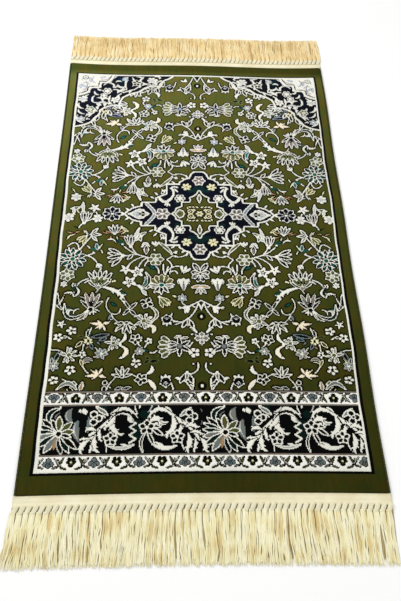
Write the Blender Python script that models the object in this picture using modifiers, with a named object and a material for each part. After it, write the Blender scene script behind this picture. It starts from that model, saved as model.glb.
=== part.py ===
"""Prayer rug: a woven pile slab laid flat, overcast down its long sides, with a fringed heading at
each end. Metres, +Z up, +Y towards the far end. The origin is at the middle of the underside."""

import math
import random

import bmesh
import bpy

CLOTH_WIDTH = 0.660
CLOTH_LENGTH = 1.180
PILE_HEIGHT = 0.007
PILE_ROUNDING = 0.0014
SEAM_GAP = 0.0003  # between neighbouring pieces

BINDING_WIDTH = 0.0048
BINDING_HEIGHT = 0.0060
BINDING_UPRIGHT = 0.35  # share of its height below the rounded part
BINDING_ARC_STEP = 36  # degrees
SIDE_STEPS = 30

TAPE_WIDTH = 0.0208
TAPE_THICKNESS = 0.0026
TAPE_RIB_HEIGHT = 0.0006

KNOTS = 58  # along each end
END_STEPS = KNOTS // 2  # sections of each end's edge, two knots in each
KNOT_LENGTH = 0.0130
KNOT_WIDTH = 0.0092
KNOT_HEIGHT = 0.0054
KNOT_SLANT = 0.0009  # how far its crown and its foot lie to either side of its middle
KNOT_CROWN_AT = 0.45  # share of its length

STRANDS_PER_KNOT = 2
STRAND_WIDTH = 0.0040
STRAND_HEIGHT = 0.0032
STRAND_TIP_SCALE = 0.85
STRAND_STRAY = 0.0005
STRAND_STATIONS = (0.22, 0.6, 1.0)  # shares of its length
SWAY_TURN = 1.9  # how far the sway moves on from root to tip, in radians
UNEVEN_CUT = (-0.004, 0.003)  # how far a strand's length may be off

HALF_WIDTH = CLOTH_WIDTH / 2
HALF_LENGTH = CLOTH_LENGTH / 2
PITCH = CLOTH_WIDTH / KNOTS

# One row per rib of the heading tape: distances from its sewn edge, and the height of the rib's crown.
TAPE_RIBS = [
    {"start": 0.0006, "end": 0.0052, "crown": TAPE_RIB_HEIGHT},
    {"start": 0.0066, "end": 0.0128, "crown": TAPE_RIB_HEIGHT * 0.7},
    {"start": 0.0138, "end": 0.0200, "crown": TAPE_RIB_HEIGHT * 0.7},
]

# One row per end: the direction it faces, how long its strands are past the knots, and their sway.
ENDS = [
    {"name": "fringe_back", "facing": 1, "length": 0.0880, "sway": 0.0034, "waves": 2.6, "seed": 11},
    {"name": "fringe_front", "facing": -1, "length": 0.0920, "sway": 0.0046, "waves": 3.3, "seed": 23},
]

# One row per side: the drawing-in of that edge at mid length, its spread at the ends and its ripple.
SIDES = {
    -1: {"draw_in": 0.0030, "spread": 0.0016, "ripple": 0.0004, "ripples": 2.0},
    1: {"draw_in": 0.0026, "spread": 0.0022, "ripple": 0.0009, "ripples": 3.4},
}
BACK_EDGE = {"arch": 0.0018, "half_waves": 1.57, "corner_lift": 0.0034, "corner_power": 6}
FRONT_EDGE = {"rise": 0.0030, "fall": 0.0040, "peak": 0.35}


def edge_shift(side, y):
    """How far outwards the long edge lies from its straight line, at this height on the rug."""
    row = SIDES[side]
    t = max(-1.0, min(1.0, y / HALF_LENGTH))
    drawn = row["draw_in"] * math.cos(t * math.pi / 2)
    return row["spread"] - drawn + row["ripple"] * math.sin(row["ripples"] * math.pi * t)


def end_shift(facing, x):
    """How far towards +Y an end lies from its straight line."""
    s = x / HALF_WIDTH
    if facing > 0:
        arch = BACK_EDGE["arch"] * math.cos(s * math.pi * BACK_EDGE["half_waves"])
        return arch + BACK_EDGE["corner_lift"] * s ** BACK_EDGE["corner_power"]
    return FRONT_EDGE["rise"] - FRONT_EDGE["fall"] * (s - FRONT_EDGE["peak"]) ** 2


def laid(x, y):
    """Where a point of the straight rug lies on the floor: its edges are a little uneven."""
    s = max(-1.0, min(1.0, x / HALF_WIDTH))
    t = max(-1.0, min(1.0, y / HALF_LENGTH))
    dx = (1 + s) / 2 * edge_shift(1, y) - (1 - s) / 2 * edge_shift(-1, y)
    dy = (1 + t) / 2 * end_shift(1, x) + (1 - t) / 2 * end_shift(-1, x)
    return x + dx, y + dy


def lay(bm):
    for vert in bm.verts:
        vert.co.x, vert.co.y = laid(vert.co.x, vert.co.y)


def material(name, colour, roughness):
    mat = bpy.data.materials.new(name)
    mat.use_nodes = True
    bsdf = mat.node_tree.nodes["Principled BSDF"]
    bsdf.inputs["Base Color"].default_value = (*colour, 1)
    bsdf.inputs["Roughness"].default_value = roughness
    bsdf.inputs["Metallic"].default_value = 0
    return mat


def add_object(name, bm, mat, collection):
    bmesh.ops.recalc_face_normals(bm, faces=bm.faces)
    mesh = bpy.data.meshes.new(name)
    bm.to_mesh(mesh)
    bm.free()
    mesh.materials.append(mat)
    obj = bpy.data.objects.new(name, mesh)
    collection.objects.link(obj)
    return obj


def swept(profile, stations):
    """A closed body whose cross-section (across, up) is placed at each station by place(across)."""
    bm = bmesh.new()
    rings = [[bm.verts.new((*place(across), up)) for across, up in profile] for place in stations]
    count = len(profile)
    for ring, after in zip(rings, rings[1:]):
        for i in range(count):
            j = (i + 1) % count
            bm.faces.new((ring[i], ring[j], after[j], after[i]))
    bm.faces.new(rings[0])
    bm.faces.new(rings[-1])
    return bm


def slab_outline():
    """Straight outline of the pile field, with the same stations as the pieces along its edges."""
    half_x = HALF_WIDTH - BINDING_WIDTH - SEAM_GAP
    across = [half_x * (2 * i / END_STEPS - 1) for i in range(END_STEPS)]
    along = [HALF_LENGTH * (2 * i / SIDE_STEPS - 1) for i in range(SIDE_STEPS)]
    near = [(x, -HALF_LENGTH) for x in across]
    right = [(half_x, y) for y in along]
    return near + right + [(-x, -y) for x, y in near + right]


def woven_slab(mat, collection):
    """The pile field: a flat outline with uneven edges, thickened and rounded at its rim."""
    bm = bmesh.new()
    bm.faces.new([bm.verts.new((x, y, 0)) for x, y in slab_outline()])
    lay(bm)
    obj = add_object("rug", bm, mat, collection)
    solid = obj.modifiers.new("pile height", "SOLIDIFY")
    solid.thickness = PILE_HEIGHT
    solid.offset = 1
    rim = obj.modifiers.new("rounded rim", "BEVEL")
    rim.width = PILE_ROUNDING
    rim.segments = 2
    rim.limit_method = "ANGLE"
    rim.angle_limit = math.radians(60)
    return obj


def side_binding(side, mat, collection):
    """Overcast yarn down a long side: flat below, rounded above."""
    inner = HALF_WIDTH - BINDING_WIDTH
    profile = [(inner, 0.0), (HALF_WIDTH, 0.0)]
    for angle in range(0, 181, BINDING_ARC_STEP):
        turn = math.radians(angle)
        across = inner + BINDING_WIDTH / 2 * (1 + math.cos(turn))
        up = BINDING_UPRIGHT + (1 - BINDING_UPRIGHT) * math.sin(turn)
        profile.append((across, BINDING_HEIGHT * up))

    def station(y):
        return lambda across: laid(side * across, y)

    steps = [-HALF_LENGTH + CLOTH_LENGTH * i / SIDE_STEPS for i in range(SIDE_STEPS + 1)]
    bm = swept(profile, [station(y) for y in steps])
    name = "side_binding_left" if side < 0 else "side_binding_right"
    return add_object(name, bm, mat, collection)


def tape_profile():
    """Cross-section of the heading tape, outwards from the rug's end, with its ribs."""
    base = TAPE_THICKNESS - TAPE_RIB_HEIGHT
    profile = [(SEAM_GAP, 0.0), (SEAM_GAP, base)]
    for rib in TAPE_RIBS:
        middle = (rib["start"] + rib["end"]) / 2
        profile += [(rib["start"], base), (middle, base + rib["crown"]), (rib["end"], base)]
    return profile + [(TAPE_WIDTH, base), (TAPE_WIDTH, 0.0)]


def heading_tape(facing):
    """The tape along one end, straight for now."""

    def station(x):
        return lambda outwards: (x, facing * (HALF_LENGTH + outwards))

    places = [-HALF_WIDTH + CLOTH_WIDTH * i / END_STEPS for i in range(END_STEPS + 1)]
    return swept(tape_profile(), [station(x) for x in places])


def outer_wall(bm, facing):
    wall = facing * (HALF_LENGTH + TAPE_WIDTH)
    return [f for f in bm.faces if all(abs(v.co.y - wall) < 1e-6 for v in f.verts)]


def split_across(bm, faces, cuts):
    """Cuts each upright face into strips side by side."""
    level = [
        e
        for e in {edge for f in faces for edge in f.edges}
        if abs(e.verts[0].co.x - e.verts[1].co.x) > abs(e.verts[0].co.z - e.verts[1].co.z)
    ]
    bmesh.ops.subdivide_edges(bm, edges=level, cuts=cuts)


def grow(bm, faces, place):
    """Extrudes each face by itself. place(i) gives the new end's x, y, width, low and high."""
    grown = bmesh.ops.extrude_discrete_faces(bm, faces=faces)["faces"]
    grown.sort(key=lambda f: f.calc_center_median().x)
    for i, face in enumerate(grown):
        centre = face.calc_center_median()
        x, y, width, low, high = place(i)
        for vert in face.verts:
            side = 1 if vert.co.x > centre.x else -1
            vert.co = (x + side * width / 2, y, high if vert.co.z > centre.z else low)
    return grown


def fringe(end, mat, collection):
    """Heading tape, its row of slanted knots and their strands: one body, fused at the roots."""
    facing = end["facing"]
    chance = random.Random(end["seed"])
    root = HALF_LENGTH + TAPE_WIDTH
    bm = heading_tape(facing)
    split_across(bm, outer_wall(bm, facing), cuts=3)
    walls = sorted(outer_wall(bm, facing), key=lambda f: f.calc_center_median().x)
    # Each knot has two strips of the wall, and roots in the one that it slants towards.
    roots = walls[1::2] if facing < 0 else walls[0::2]

    def cell_middle(i):
        return -HALF_WIDTH + PITCH * (i + 0.5)

    def knot_crown(i):
        x = cell_middle(i) - facing * KNOT_SLANT
        return x, facing * (root + KNOT_LENGTH * KNOT_CROWN_AT), KNOT_WIDTH, 0.0, KNOT_HEIGHT

    def knot_foot(i):
        x = cell_middle(i) + facing * KNOT_SLANT
        width = STRANDS_PER_KNOT * STRAND_WIDTH
        return x, facing * (root + KNOT_LENGTH), width, 0.0, STRAND_HEIGHT

    crowns = grow(bm, roots, knot_crown)
    feet = grow(bm, crowns, knot_foot)
    foot_wall = facing * (root + KNOT_LENGTH)
    split_across(bm, feet, cuts=STRANDS_PER_KNOT - 1)
    starts = [f for f in bm.faces if all(abs(v.co.y - foot_wall) < 1e-6 for v in f.verts)]
    starts.sort(key=lambda f: f.calc_center_median().x)

    count = len(starts)
    spacing = CLOTH_WIDTH / count
    strays = [chance.uniform(-1, 1) for _ in range(count)]
    lengths = [end["length"] + chance.uniform(*UNEVEN_CUT) for _ in range(count)]

    def strand(t):
        def place(i):
            middle = -HALF_WIDTH + spacing * (i + 0.5)
            turn = end["waves"] * math.pi * middle / HALF_WIDTH
            drift = end["sway"] * math.sin(turn + SWAY_TURN * t) * t + strays[i] * STRAND_STRAY * t
            x = middle + facing * KNOT_SLANT * (1 - t) + drift
            taper = 1 - (1 - STRAND_TIP_SCALE) * t
            y = facing * (root + KNOT_LENGTH + lengths[i] * t)
            return x, y, STRAND_WIDTH * taper, 0.0, STRAND_HEIGHT * taper

        return place

    tips = starts
    for t in STRAND_STATIONS:
        tips = grow(bm, tips, strand(t))
    lay(bm)
    return add_object(end["name"], bm, mat, collection)


def main():
    for obj in list(bpy.data.objects):
        bpy.data.objects.remove(obj, do_unlink=True)
    parts = bpy.data.collections.new("prayer_rug")
    bpy.context.scene.collection.children.link(parts)

    woven_slab(material("olive pile", (0.085, 0.082, 0.018), 0.9), parts)
    binding = material("grey-green overcasting", (0.10, 0.11, 0.055), 0.85)
    for side in SIDES:
        side_binding(side, binding, parts)
    ivory = material("ivory yarn", (0.80, 0.70, 0.47), 0.8)
    for end in ENDS:
        fringe(end, ivory, parts)


main()
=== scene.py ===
import math

import bpy
import numpy as np
from mathutils import Matrix, Vector


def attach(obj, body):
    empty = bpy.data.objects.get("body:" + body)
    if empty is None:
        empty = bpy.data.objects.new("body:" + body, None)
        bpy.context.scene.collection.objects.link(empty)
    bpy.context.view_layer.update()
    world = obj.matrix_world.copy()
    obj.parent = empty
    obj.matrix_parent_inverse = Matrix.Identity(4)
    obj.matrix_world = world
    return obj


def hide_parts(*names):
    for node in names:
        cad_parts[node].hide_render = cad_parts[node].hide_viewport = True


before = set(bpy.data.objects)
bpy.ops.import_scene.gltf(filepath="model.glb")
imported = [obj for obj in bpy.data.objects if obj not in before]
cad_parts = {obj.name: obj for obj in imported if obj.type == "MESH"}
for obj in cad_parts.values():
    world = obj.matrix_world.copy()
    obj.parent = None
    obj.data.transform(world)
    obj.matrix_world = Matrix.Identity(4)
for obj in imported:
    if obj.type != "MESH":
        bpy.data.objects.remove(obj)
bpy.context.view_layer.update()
print("frame loaded:", len(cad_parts), "nodes")

rug = {  # the cloth's own sizes, in metres, and how its edges wander off straight
    "width": 0.660, "length": 1.180, "bindingWidth": 0.0048, "seam": 0.0003,
    "sides": {-1: (0.0030, 0.0016, 0.0004, 2.0), 1: (0.0026, 0.0022, 0.0009, 3.4)},
    "back": (0.0018, 1.57, 0.0034, 6), "front": (0.0030, 0.0040, 0.35),
}
halfWidth = rug["width"] / 2
halfLength = rug["length"] / 2
fieldHalf = halfWidth - rug["bindingWidth"] - rug["seam"]


def sideShift(side, y):
    drawIn, spread, ripple, ripples = rug["sides"][side]
    t = np.clip(y / halfLength, -1, 1)
    return spread - drawIn * np.cos(t * math.pi / 2) + ripple * np.sin(ripples * math.pi * t)


def endShift(facing, x):
    s = x / halfWidth
    if facing > 0:
        arch, halfWaves, lift, power = rug["back"]
        return arch * np.cos(s * math.pi * halfWaves) + lift * s ** power
    rise, fall, peak = rug["front"]
    return rise - fall * (s - peak) ** 2


def laidOut(points):  # where points of the straight rug lie on the floor
    x, y = points[:, 0].copy(), points[:, 1].copy()
    s, t = np.clip(x / halfWidth, -1, 1), np.clip(y / halfLength, -1, 1)
    points[:, 0] = x + (1 + s) / 2 * sideShift(1, y) - (1 - s) / 2 * sideShift(-1, y)
    points[:, 1] = y + (1 + t) / 2 * endShift(1, x) + (1 - t) / 2 * endShift(-1, x)
    return points


def meshObject(name, points, faces, material, smooth=True):
    mesh = bpy.data.meshes.new(name)
    mesh.from_pydata(points.tolist() if hasattr(points, "tolist") else points, [], faces)
    mesh.materials.append(material)
    if smooth:
        mesh.shade_smooth()
    mesh.update()
    obj = bpy.data.objects.new(name, mesh)
    bpy.context.scene.collection.objects.link(obj)
    return obj


# node helpers
def add(tree, kind, inputs=None, **settings):
    node = tree.nodes.new(kind)
    for key, value in settings.items():
        setattr(node, key, value)
    for key, value in (inputs or {}).items():
        if isinstance(key, int):
            target = node.inputs[key]
        else:
            target = next(s for s in node.inputs if s.name == key and s.enabled)
        if isinstance(value, bpy.types.NodeSocket):
            tree.links.new(value, target)
        else:
            target.default_value = value
    return node


def calc(tree, operation, *values):
    return add(tree, "ShaderNodeMath", dict(enumerate(values)), operation=operation).outputs[0]


def total(tree, *values):
    result = values[0]
    for value in values[1:]:
        result = calc(tree, "ADD", result, value)
    return result


def product(tree, *values):
    result = values[0]
    for value in values[1:]:
        result = calc(tree, "MULTIPLY", result, value)
    return result


def blended(tree, factor, a, b, mode="MIX"):
    mix = add(tree, "ShaderNodeMix", data_type="RGBA", blend_type=mode)
    for index, value in ((0, factor), (6, a), (7, b)):
        if isinstance(value, bpy.types.NodeSocket):
            tree.links.new(value, mix.inputs[index])
        else:
            mix.inputs[index].default_value = value
    return mix.outputs[2]


def noise(tree, where, scale, detail, roughness=0.5):
    return add(tree, "ShaderNodeTexNoise", {"Vector": where, "Scale": scale, "Detail": detail,
                                            "Roughness": roughness}).outputs["Fac"]


def coloured(tree, red, green, blue):
    return add(tree, "ShaderNodeCombineColor", {"Red": red, "Green": green, "Blue": blue}).outputs[0]


def linear(rgb):  # a daylight colour, 0 to 255, as light
    return tuple(((c / 255 + 0.055) / 1.055) ** 2.4 if c > 10 else c / 3295 for c in rgb) + (1,)


def newMaterial(name, roughness, sheen):
    material = bpy.data.materials.new(name)
    material.use_nodes = True
    tree = material.node_tree
    shader = tree.nodes["Principled BSDF"]
    shader.inputs["Roughness"].default_value = roughness
    shader.inputs["Specular IOR Level"].default_value = 0.25
    shader.inputs["Sheen Weight"].default_value = sheen
    shader.inputs["Sheen Roughness"].default_value = 0.45
    shader.inputs["Sheen Tint"].default_value = (1, 1, 1, 1)
    return material, tree, shader


# the woven picture, charted from motifs, all in mm
yarns = {  # name: colour of the yarn, as it looks in daylight at mid length
    "olive": (71, 72, 26), "cream": (231, 230, 218), "navy": (12, 15, 25), "ink": (11, 13, 15),
    "straw": (228, 223, 182), "tan": (180, 144, 106), "teal": (20, 92, 78), "pine": (12, 37, 36),
    "slate": (126, 134, 138), "steel": (68, 84, 102), "mist": (190, 192, 188), "mauve": (136, 126, 122),
    "umber": (84, 58, 34), "shade": (17, 18, 8), "moss": (92, 96, 56), "white": (240, 239, 230),
    "peach": (240, 227, 200),
}
yarnCode = {name: i for i, name in enumerate(yarns)}


def newChart(left, right, near, far, cell):
    across = np.arange(round((right - left) / cell)) * cell + left + cell / 2
    along = np.arange(round((far - near) / cell)) * cell + near + cell / 2
    return {"u": across, "v": along, "yarn": np.zeros((len(along), len(across)), np.int8)}


def window(chart, u0, u1, v0, v1):
    cols = slice(*np.searchsorted(chart["u"], (u0, u1)))
    rows = slice(*np.searchsorted(chart["v"], (v0, v1)))
    return (rows, cols), chart["u"][None, cols], chart["v"][rows, None]


def lay(chart, part, distance, yarn, rim=None, rimWidth=2.4):
    cells = chart["yarn"][part]
    if rim:
        cells[distance < rimWidth] = yarnCode[rim]
    if yarn:
        cells[distance < 0] = yarnCode[yarn]


def bellied(t, belly):  # a share of the full width from 0 at both ends up to 1 at belly
    return np.sin(math.pi * t ** (math.log(0.5) / math.log(belly)))


def petalDistance(a, b, start, length, width, belly=0.6, blunt=1.0, bend=0.0):
    t = (a - start) / length
    inside = np.clip(t, 0, 1)
    half = width / 2 * bellied(inside, belly) ** blunt
    return np.hypot((t - inside) * length, b - bend * 4 * inside * (1 - inside)) - half


def cosSin(turn):
    return math.cos(math.radians(turn)), math.sin(math.radians(turn))


def leaf(chart, u, v, turn, length, width, yarn, rim=None, rimWidth=2.4, belly=0.5, blunt=1.0, bend=0.0,
         vein=None):
    reach = length + width + 4
    part, us, vs = window(chart, u - reach, u + reach, v - reach, v + reach)
    c, s = cosSin(turn)
    a, b = (us - u) * c + (vs - v) * s, (vs - v) * c - (us - u) * s
    lay(chart, part, petalDistance(a, b, 0, length, width, belly, blunt, bend), yarn, rim, rimWidth)
    if vein:
        inner = petalDistance(a, b, length * 0.22, length * 0.56, width * 0.34, belly, 1.0, bend * 0.9)
        lay(chart, part, inner, vein)


def disc(chart, u, v, radius, yarn, rim=None, rimWidth=2.4):
    reach = radius + 4
    part, us, vs = window(chart, u - reach, u + reach, v - reach, v + reach)
    lay(chart, part, np.hypot(us - u, vs - v) - radius, yarn, rim, rimWidth)


def arc(start, end, bend=0.0, steps=9):  # bend: its rise to the left, over its length
    p, q = np.array(start, float), np.array(end, float)
    across = np.array([p[1] - q[1], q[0] - p[0]])
    t = np.linspace(0, 1, steps)[:, None]
    return p + (q - p) * t + across * (bend * 4 * t * (1 - t))


def edgePath(start, rows):  # an outline from its sides in turn: across, along, and how far each side bulges
    points = [np.array(start, float)]
    for du, dv, bulge in rows:
        side = arc(points[-1], points[-1] + (du, dv), bulge / math.hypot(du, dv), steps=5 if bulge else 2)
        points += list(side[1:])
    return np.array(points)


def pathDistance(us, vs, path, halves):
    best = None
    for p, q, h0, h1 in zip(path, path[1:], halves, halves[1:]):
        step = q - p
        t = np.clip(((us - p[0]) * step[0] + (vs - p[1]) * step[1]) / max(step @ step, 1e-9), 0, 1)
        d = np.hypot(us - p[0] - t * step[0], vs - p[1] - t * step[1]) - (h0 + (h1 - h0) * t)
        best = d if best is None else np.minimum(best, d)
    return best


def ribbon(chart, path, width, yarn, rim=None, rimWidth=2.4, belly=None):
    reach = width + 4
    (u0, v0), (u1, v1) = path.min(0) - reach, path.max(0) + reach
    part, us, vs = window(chart, u0, u1, v0, v1)
    if us.size and vs.size:
        along = np.linspace(0, 1, len(path))
        shape = bellied(along, belly) if belly else np.ones(len(path))
        lay(chart, part, pathDistance(us, vs, path, width / 2 * shape), yarn, rim, rimWidth)


def area(chart, points, yarn, rim=None, rimWidth=2.4):
    (u0, v0), (u1, v1) = points.min(0) - rimWidth - 2, points.max(0) + rimWidth + 2
    part, us, vs = window(chart, u0, u1, v0, v1)
    inside = np.zeros(np.broadcast(us, vs).shape, bool)
    for p, q in zip(points, np.roll(points, -1, 0)):
        crosses = (p[1] > vs) != (q[1] > vs)
        slope = (q[0] - p[0]) / (q[1] - p[1]) if q[1] != p[1] else 0
        inside ^= crosses & (us < p[0] + slope * (vs - p[1]))
    edge = pathDistance(us, vs, np.vstack([points, points[:1]]), np.zeros(len(points) + 1))
    lay(chart, part, np.where(inside, -edge, edge), yarn, rim, rimWidth)


def sprout(chart, path, rows, yarn):  # leaves off a path: share along it, side, length, width, lean
    for share, side, length, width, lean in rows:
        j = min(int(share * (len(path) - 1)), len(path) - 2)
        du, dv = path[j + 1] - path[j]
        u, v = path[j] + (du, dv) * np.array(share * (len(path) - 1) - j)
        heading = math.degrees(math.atan2(dv, du))
        leaf(chart, u, v, heading - side * lean, length, width, yarn, belly=0.45, bend=side * width * 0.35)


def ring(count, spread, length, width, yarn, rim=None, **more):
    return dict(count=count, spread=spread, length=length, width=width, yarn=yarn, rim=rim, **more)


# flowers: rings of petals from the outermost in, sizes as shares of the whole, then the heart
roundPetal = {"belly": 0.68, "blunt": 0.6}
flowerKinds = {
    "lobed": ([ring(8, 360, 0.5, 0.24, "navy", "cream", rimWidth=2.6, **roundPetal),
               ring(8, 360, 0.26, 0.05, "mist", start=0.10, offset=22.5)], (0.09, "cream")),
    "dotted": ([ring(6, 360, 0.5, 0.32, "cream", **roundPetal),
                ring(6, 360, 0.20, 0.20, "ink", start=0.20)],
               (0.10, "cream")),
    "crown": ([ring(6, 360, 0.5, 0.27, "mauve", "cream", rimWidth=2.6, vein="ink", **roundPetal)],
              (0.12, "cream")),
    "daisy": ([ring(6, 360, 0.5, 0.27, "straw", **roundPetal)], (0.10, "moss")),
    "star": ([ring(5, 360, 0.54, 0.22, "cream", belly=0.42)], (0.06, "shade")),
    "starOpen": ([ring(5, 360, 0.5, 0.27, "cream", belly=0.52, blunt=0.9), ring(5, 360, 0.24, 0.10, "ink")],
                 (0.05, "cream")),
    "posy": ([ring(5, 360, 0.5, 0.33, "cream", belly=0.70, blunt=0.5)], (0.14, "ink")),
    "blossom": ([ring(6, 360, 0.5, 0.30, "cream", belly=0.7, blunt=0.6)], (0.20, "mist")),
    "openBlossom": ([ring(6, 360, 0.5, 0.26, "moss", "cream", **roundPetal)], (0.14, "mist", "cream")),
    "bluet": ([ring(6, 360, 0.5, 0.28, "mist"), ring(6, 360, 0.36, 0.13, "slate", start=0.06)],
              (0.12, "cream")),
    "yellowEye": ([ring(6, 360, 0.5, 0.28, "straw", **roundPetal)], (0.16, "olive")),
    "pod": ([ring(4, 360, 0.5, 0.32, "shade", "cream", **roundPetal)], (0.10, "cream")),
    "podFive": ([ring(5, 360, 0.5, 0.28, "olive", "cream", **roundPetal)], (0.13, "cream")),
    "hearts": ([ring(4, 360, 0.5, 0.32, "mauve", "cream", belly=0.68)], (0.10, "ink")),
    # opening flowers stand on their base point and point along their turn
    "tulip": ([ring(4, 40, 1.0, 0.15, "ink", "cream", belly=0.58, rimWidth=1.9),
               ring(3, 24, 0.74, 0.05, "mauve")],
              (0.12, "cream")),
    "whiteTulip": ([ring(2, 84, 1.0, 0.20, "ink", "cream", rimWidth=2.4, belly=0.6),
                    ring(3, 44, 0.94, 0.17, "shade", "cream", rimWidth=2.0),
                    ring(2, 60, 0.6, 0.06, "mist")],
                   (0.14, "cream")),
    "fan": ([ring(3, 104, 1.0, 0.36, "cream", vein="ink"), ring(2, 50, 0.62, 0.12, "ink")],
            (0.10, "cream")),
    "lily": ([ring(2, 150, 0.9, 0.16, "ink", "cream", rimWidth=2.0), ring(3, 70, 1.0, 0.15, "ink", "cream"),
              ring(1, 0, 0.6, 0.14, "slate")], (0.12, "ink", "cream")),
    "lotus": ([ring(3, 120, 0.36, 0.10, "cream", back=180),
               ring(2, 92, 0.70, 0.12, "ink", "cream", rimWidth=1.8),
               ring(3, 40, 0.96, 0.15, "mauve", "cream", rimWidth=1.8, belly=0.56),
               ring(4, 30, 0.66, 0.06, "ink")],
              (0.11, "ink", "cream")),
    "smallLotus": ([ring(4, 130, 0.9, 0.10, "tan", belly=0.7),
                    ring(4, 66, 1.0, 0.16, "ink", "cream", rimWidth=1.8),
                    ring(1, 0, 0.7, 0.2, "slate")], (0.12, "cream")),
    "cup": ([ring(2, 54, 1.0, 0.26, "shade", "cream", rimWidth=2.0, belly=0.6),
             ring(1, 0, 0.7, 0.16, "mauve", "cream", rimWidth=1.6)], (0.10, "cream")),
    "pear": ([ring(3, 66, 0.84, 0.28, "cream", back=180, belly=0.62), ring(1, 0, 0.62, 0.20, "cream"),
              ring(5, 360, 0.46, 0.48, "ink", "cream", rimWidth=2.6, **roundPetal),
              ring(3, 96, 0.36, 0.09, "mist")],
             (0.07, "cream")),
    "bud": ([ring(3, 54, 1.0, 0.27, "cream", belly=0.7, blunt=0.8)], (0.10, "ink")),
    "yellowBud": ([ring(3, 44, 1.0, 0.22, "moss", "straw", rimWidth=1.8, belly=0.6),
                   ring(2, 20, 0.7, 0.05, "ink")],
                  (0.12, "cream")),
    "carnation": ([ring(3, 140, 0.70, 0.15, "slate", "cream", rimWidth=1.9, back=180),
                   ring(5, 176, 0.72, 0.25, "cream", None, belly=0.72, blunt=0.7, vein="moss")],
                  (0.15, "moss", "cream")),
    "tanPalmette": ([ring(5, 66, 0.46, 0.11, "ink", "cream", start=0.50, rimWidth=1.9),
                     ring(2, 112, 0.60, 0.13, "ink", "cream", rimWidth=1.9),
                     ring(4, 74, 0.50, 0.16, "moss", "cream", start=0.10, rimWidth=2.0, **roundPetal),
                     ring(3, 50, 0.30, 0.06, "ink", start=0.18)], (0.08, "mauve", "cream")),
    "hood": ([ring(5, 150, 0.48, 0.12, "ink", "cream", back=180, rimWidth=1.9),
              ring(2, 176, 0.54, 0.13, "slate", "cream", rimWidth=1.9),
              ring(5, 116, 0.50, 0.19, "moss", "peach", start=0.05, rimWidth=2.1, **roundPetal),
              ring(4, 84, 0.34, 0.06, "ink")], (0.10, "teal", "cream")),
    "shell": ([ring(4, 190, 0.48, 0.13, "ink", "cream", back=180, rimWidth=1.9),
               ring(5, 64, 0.42, 0.17, "moss", "cream", start=0.48, rimWidth=2.0, **roundPetal),
               ring(4, 66, 0.52, 0.11, "ink", "cream", rimWidth=1.8)], (0.10, "slate", "pine")),
    "edgePalmette": ([ring(11, 360, 0.5, 0.14, "pine", "cream", rimWidth=1.8, belly=0.7, blunt=0.7),
                      ring(11, 360, 0.42, 0.05, "teal"),
                      ring(7, 360, 0.30, 0.10, "ink", "cream", rimWidth=1.6)],
                     (0.09, "teal", "cream")),
    "ringFlower": ([ring(5, 360, 0.5, 0.28, "ink", "cream", rimWidth=2.9, **roundPetal)], (0.13, "cream")),
}


def flower(chart, kind, u, v, turn, size):
    rings, heart = flowerKinds[kind]
    for row in rings:
        shape = {key: row[key] for key in ("belly", "blunt") if key in row}
        shape.update(length=row["length"] * size, width=row["width"] * size,
                     rimWidth=row.get("rimWidth", 2.4))
        count, spread, start = row["count"], row["spread"], row.get("start", 0) * size
        swing = spread * (1 - 1 / count) if spread >= 360 else spread if count > 1 else 0
        toward = turn + row.get("back", 0) + row.get("offset", 0)
        fromOutside = sorted(np.linspace(-swing / 2, swing / 2, count), key=abs, reverse=True)
        petals = [toward + angle for angle in fromOutside]
        layers = [(None, row["rim"]), (row["yarn"], None)] if spread >= 360 else [(row["yarn"], row["rim"])]
        for yarn, rim in layers:
            for angle in petals:
                c, s = cosSin(angle)
                leaf(chart, u + start * c, v + start * s, angle, yarn=yarn, rim=rim,
                     vein=row.get("vein") if yarn else None, **shape)
    disc(chart, u, v, heart[0] * size, heart[1], heart[2] if len(heart) > 2 else None, 1.7)


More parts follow.
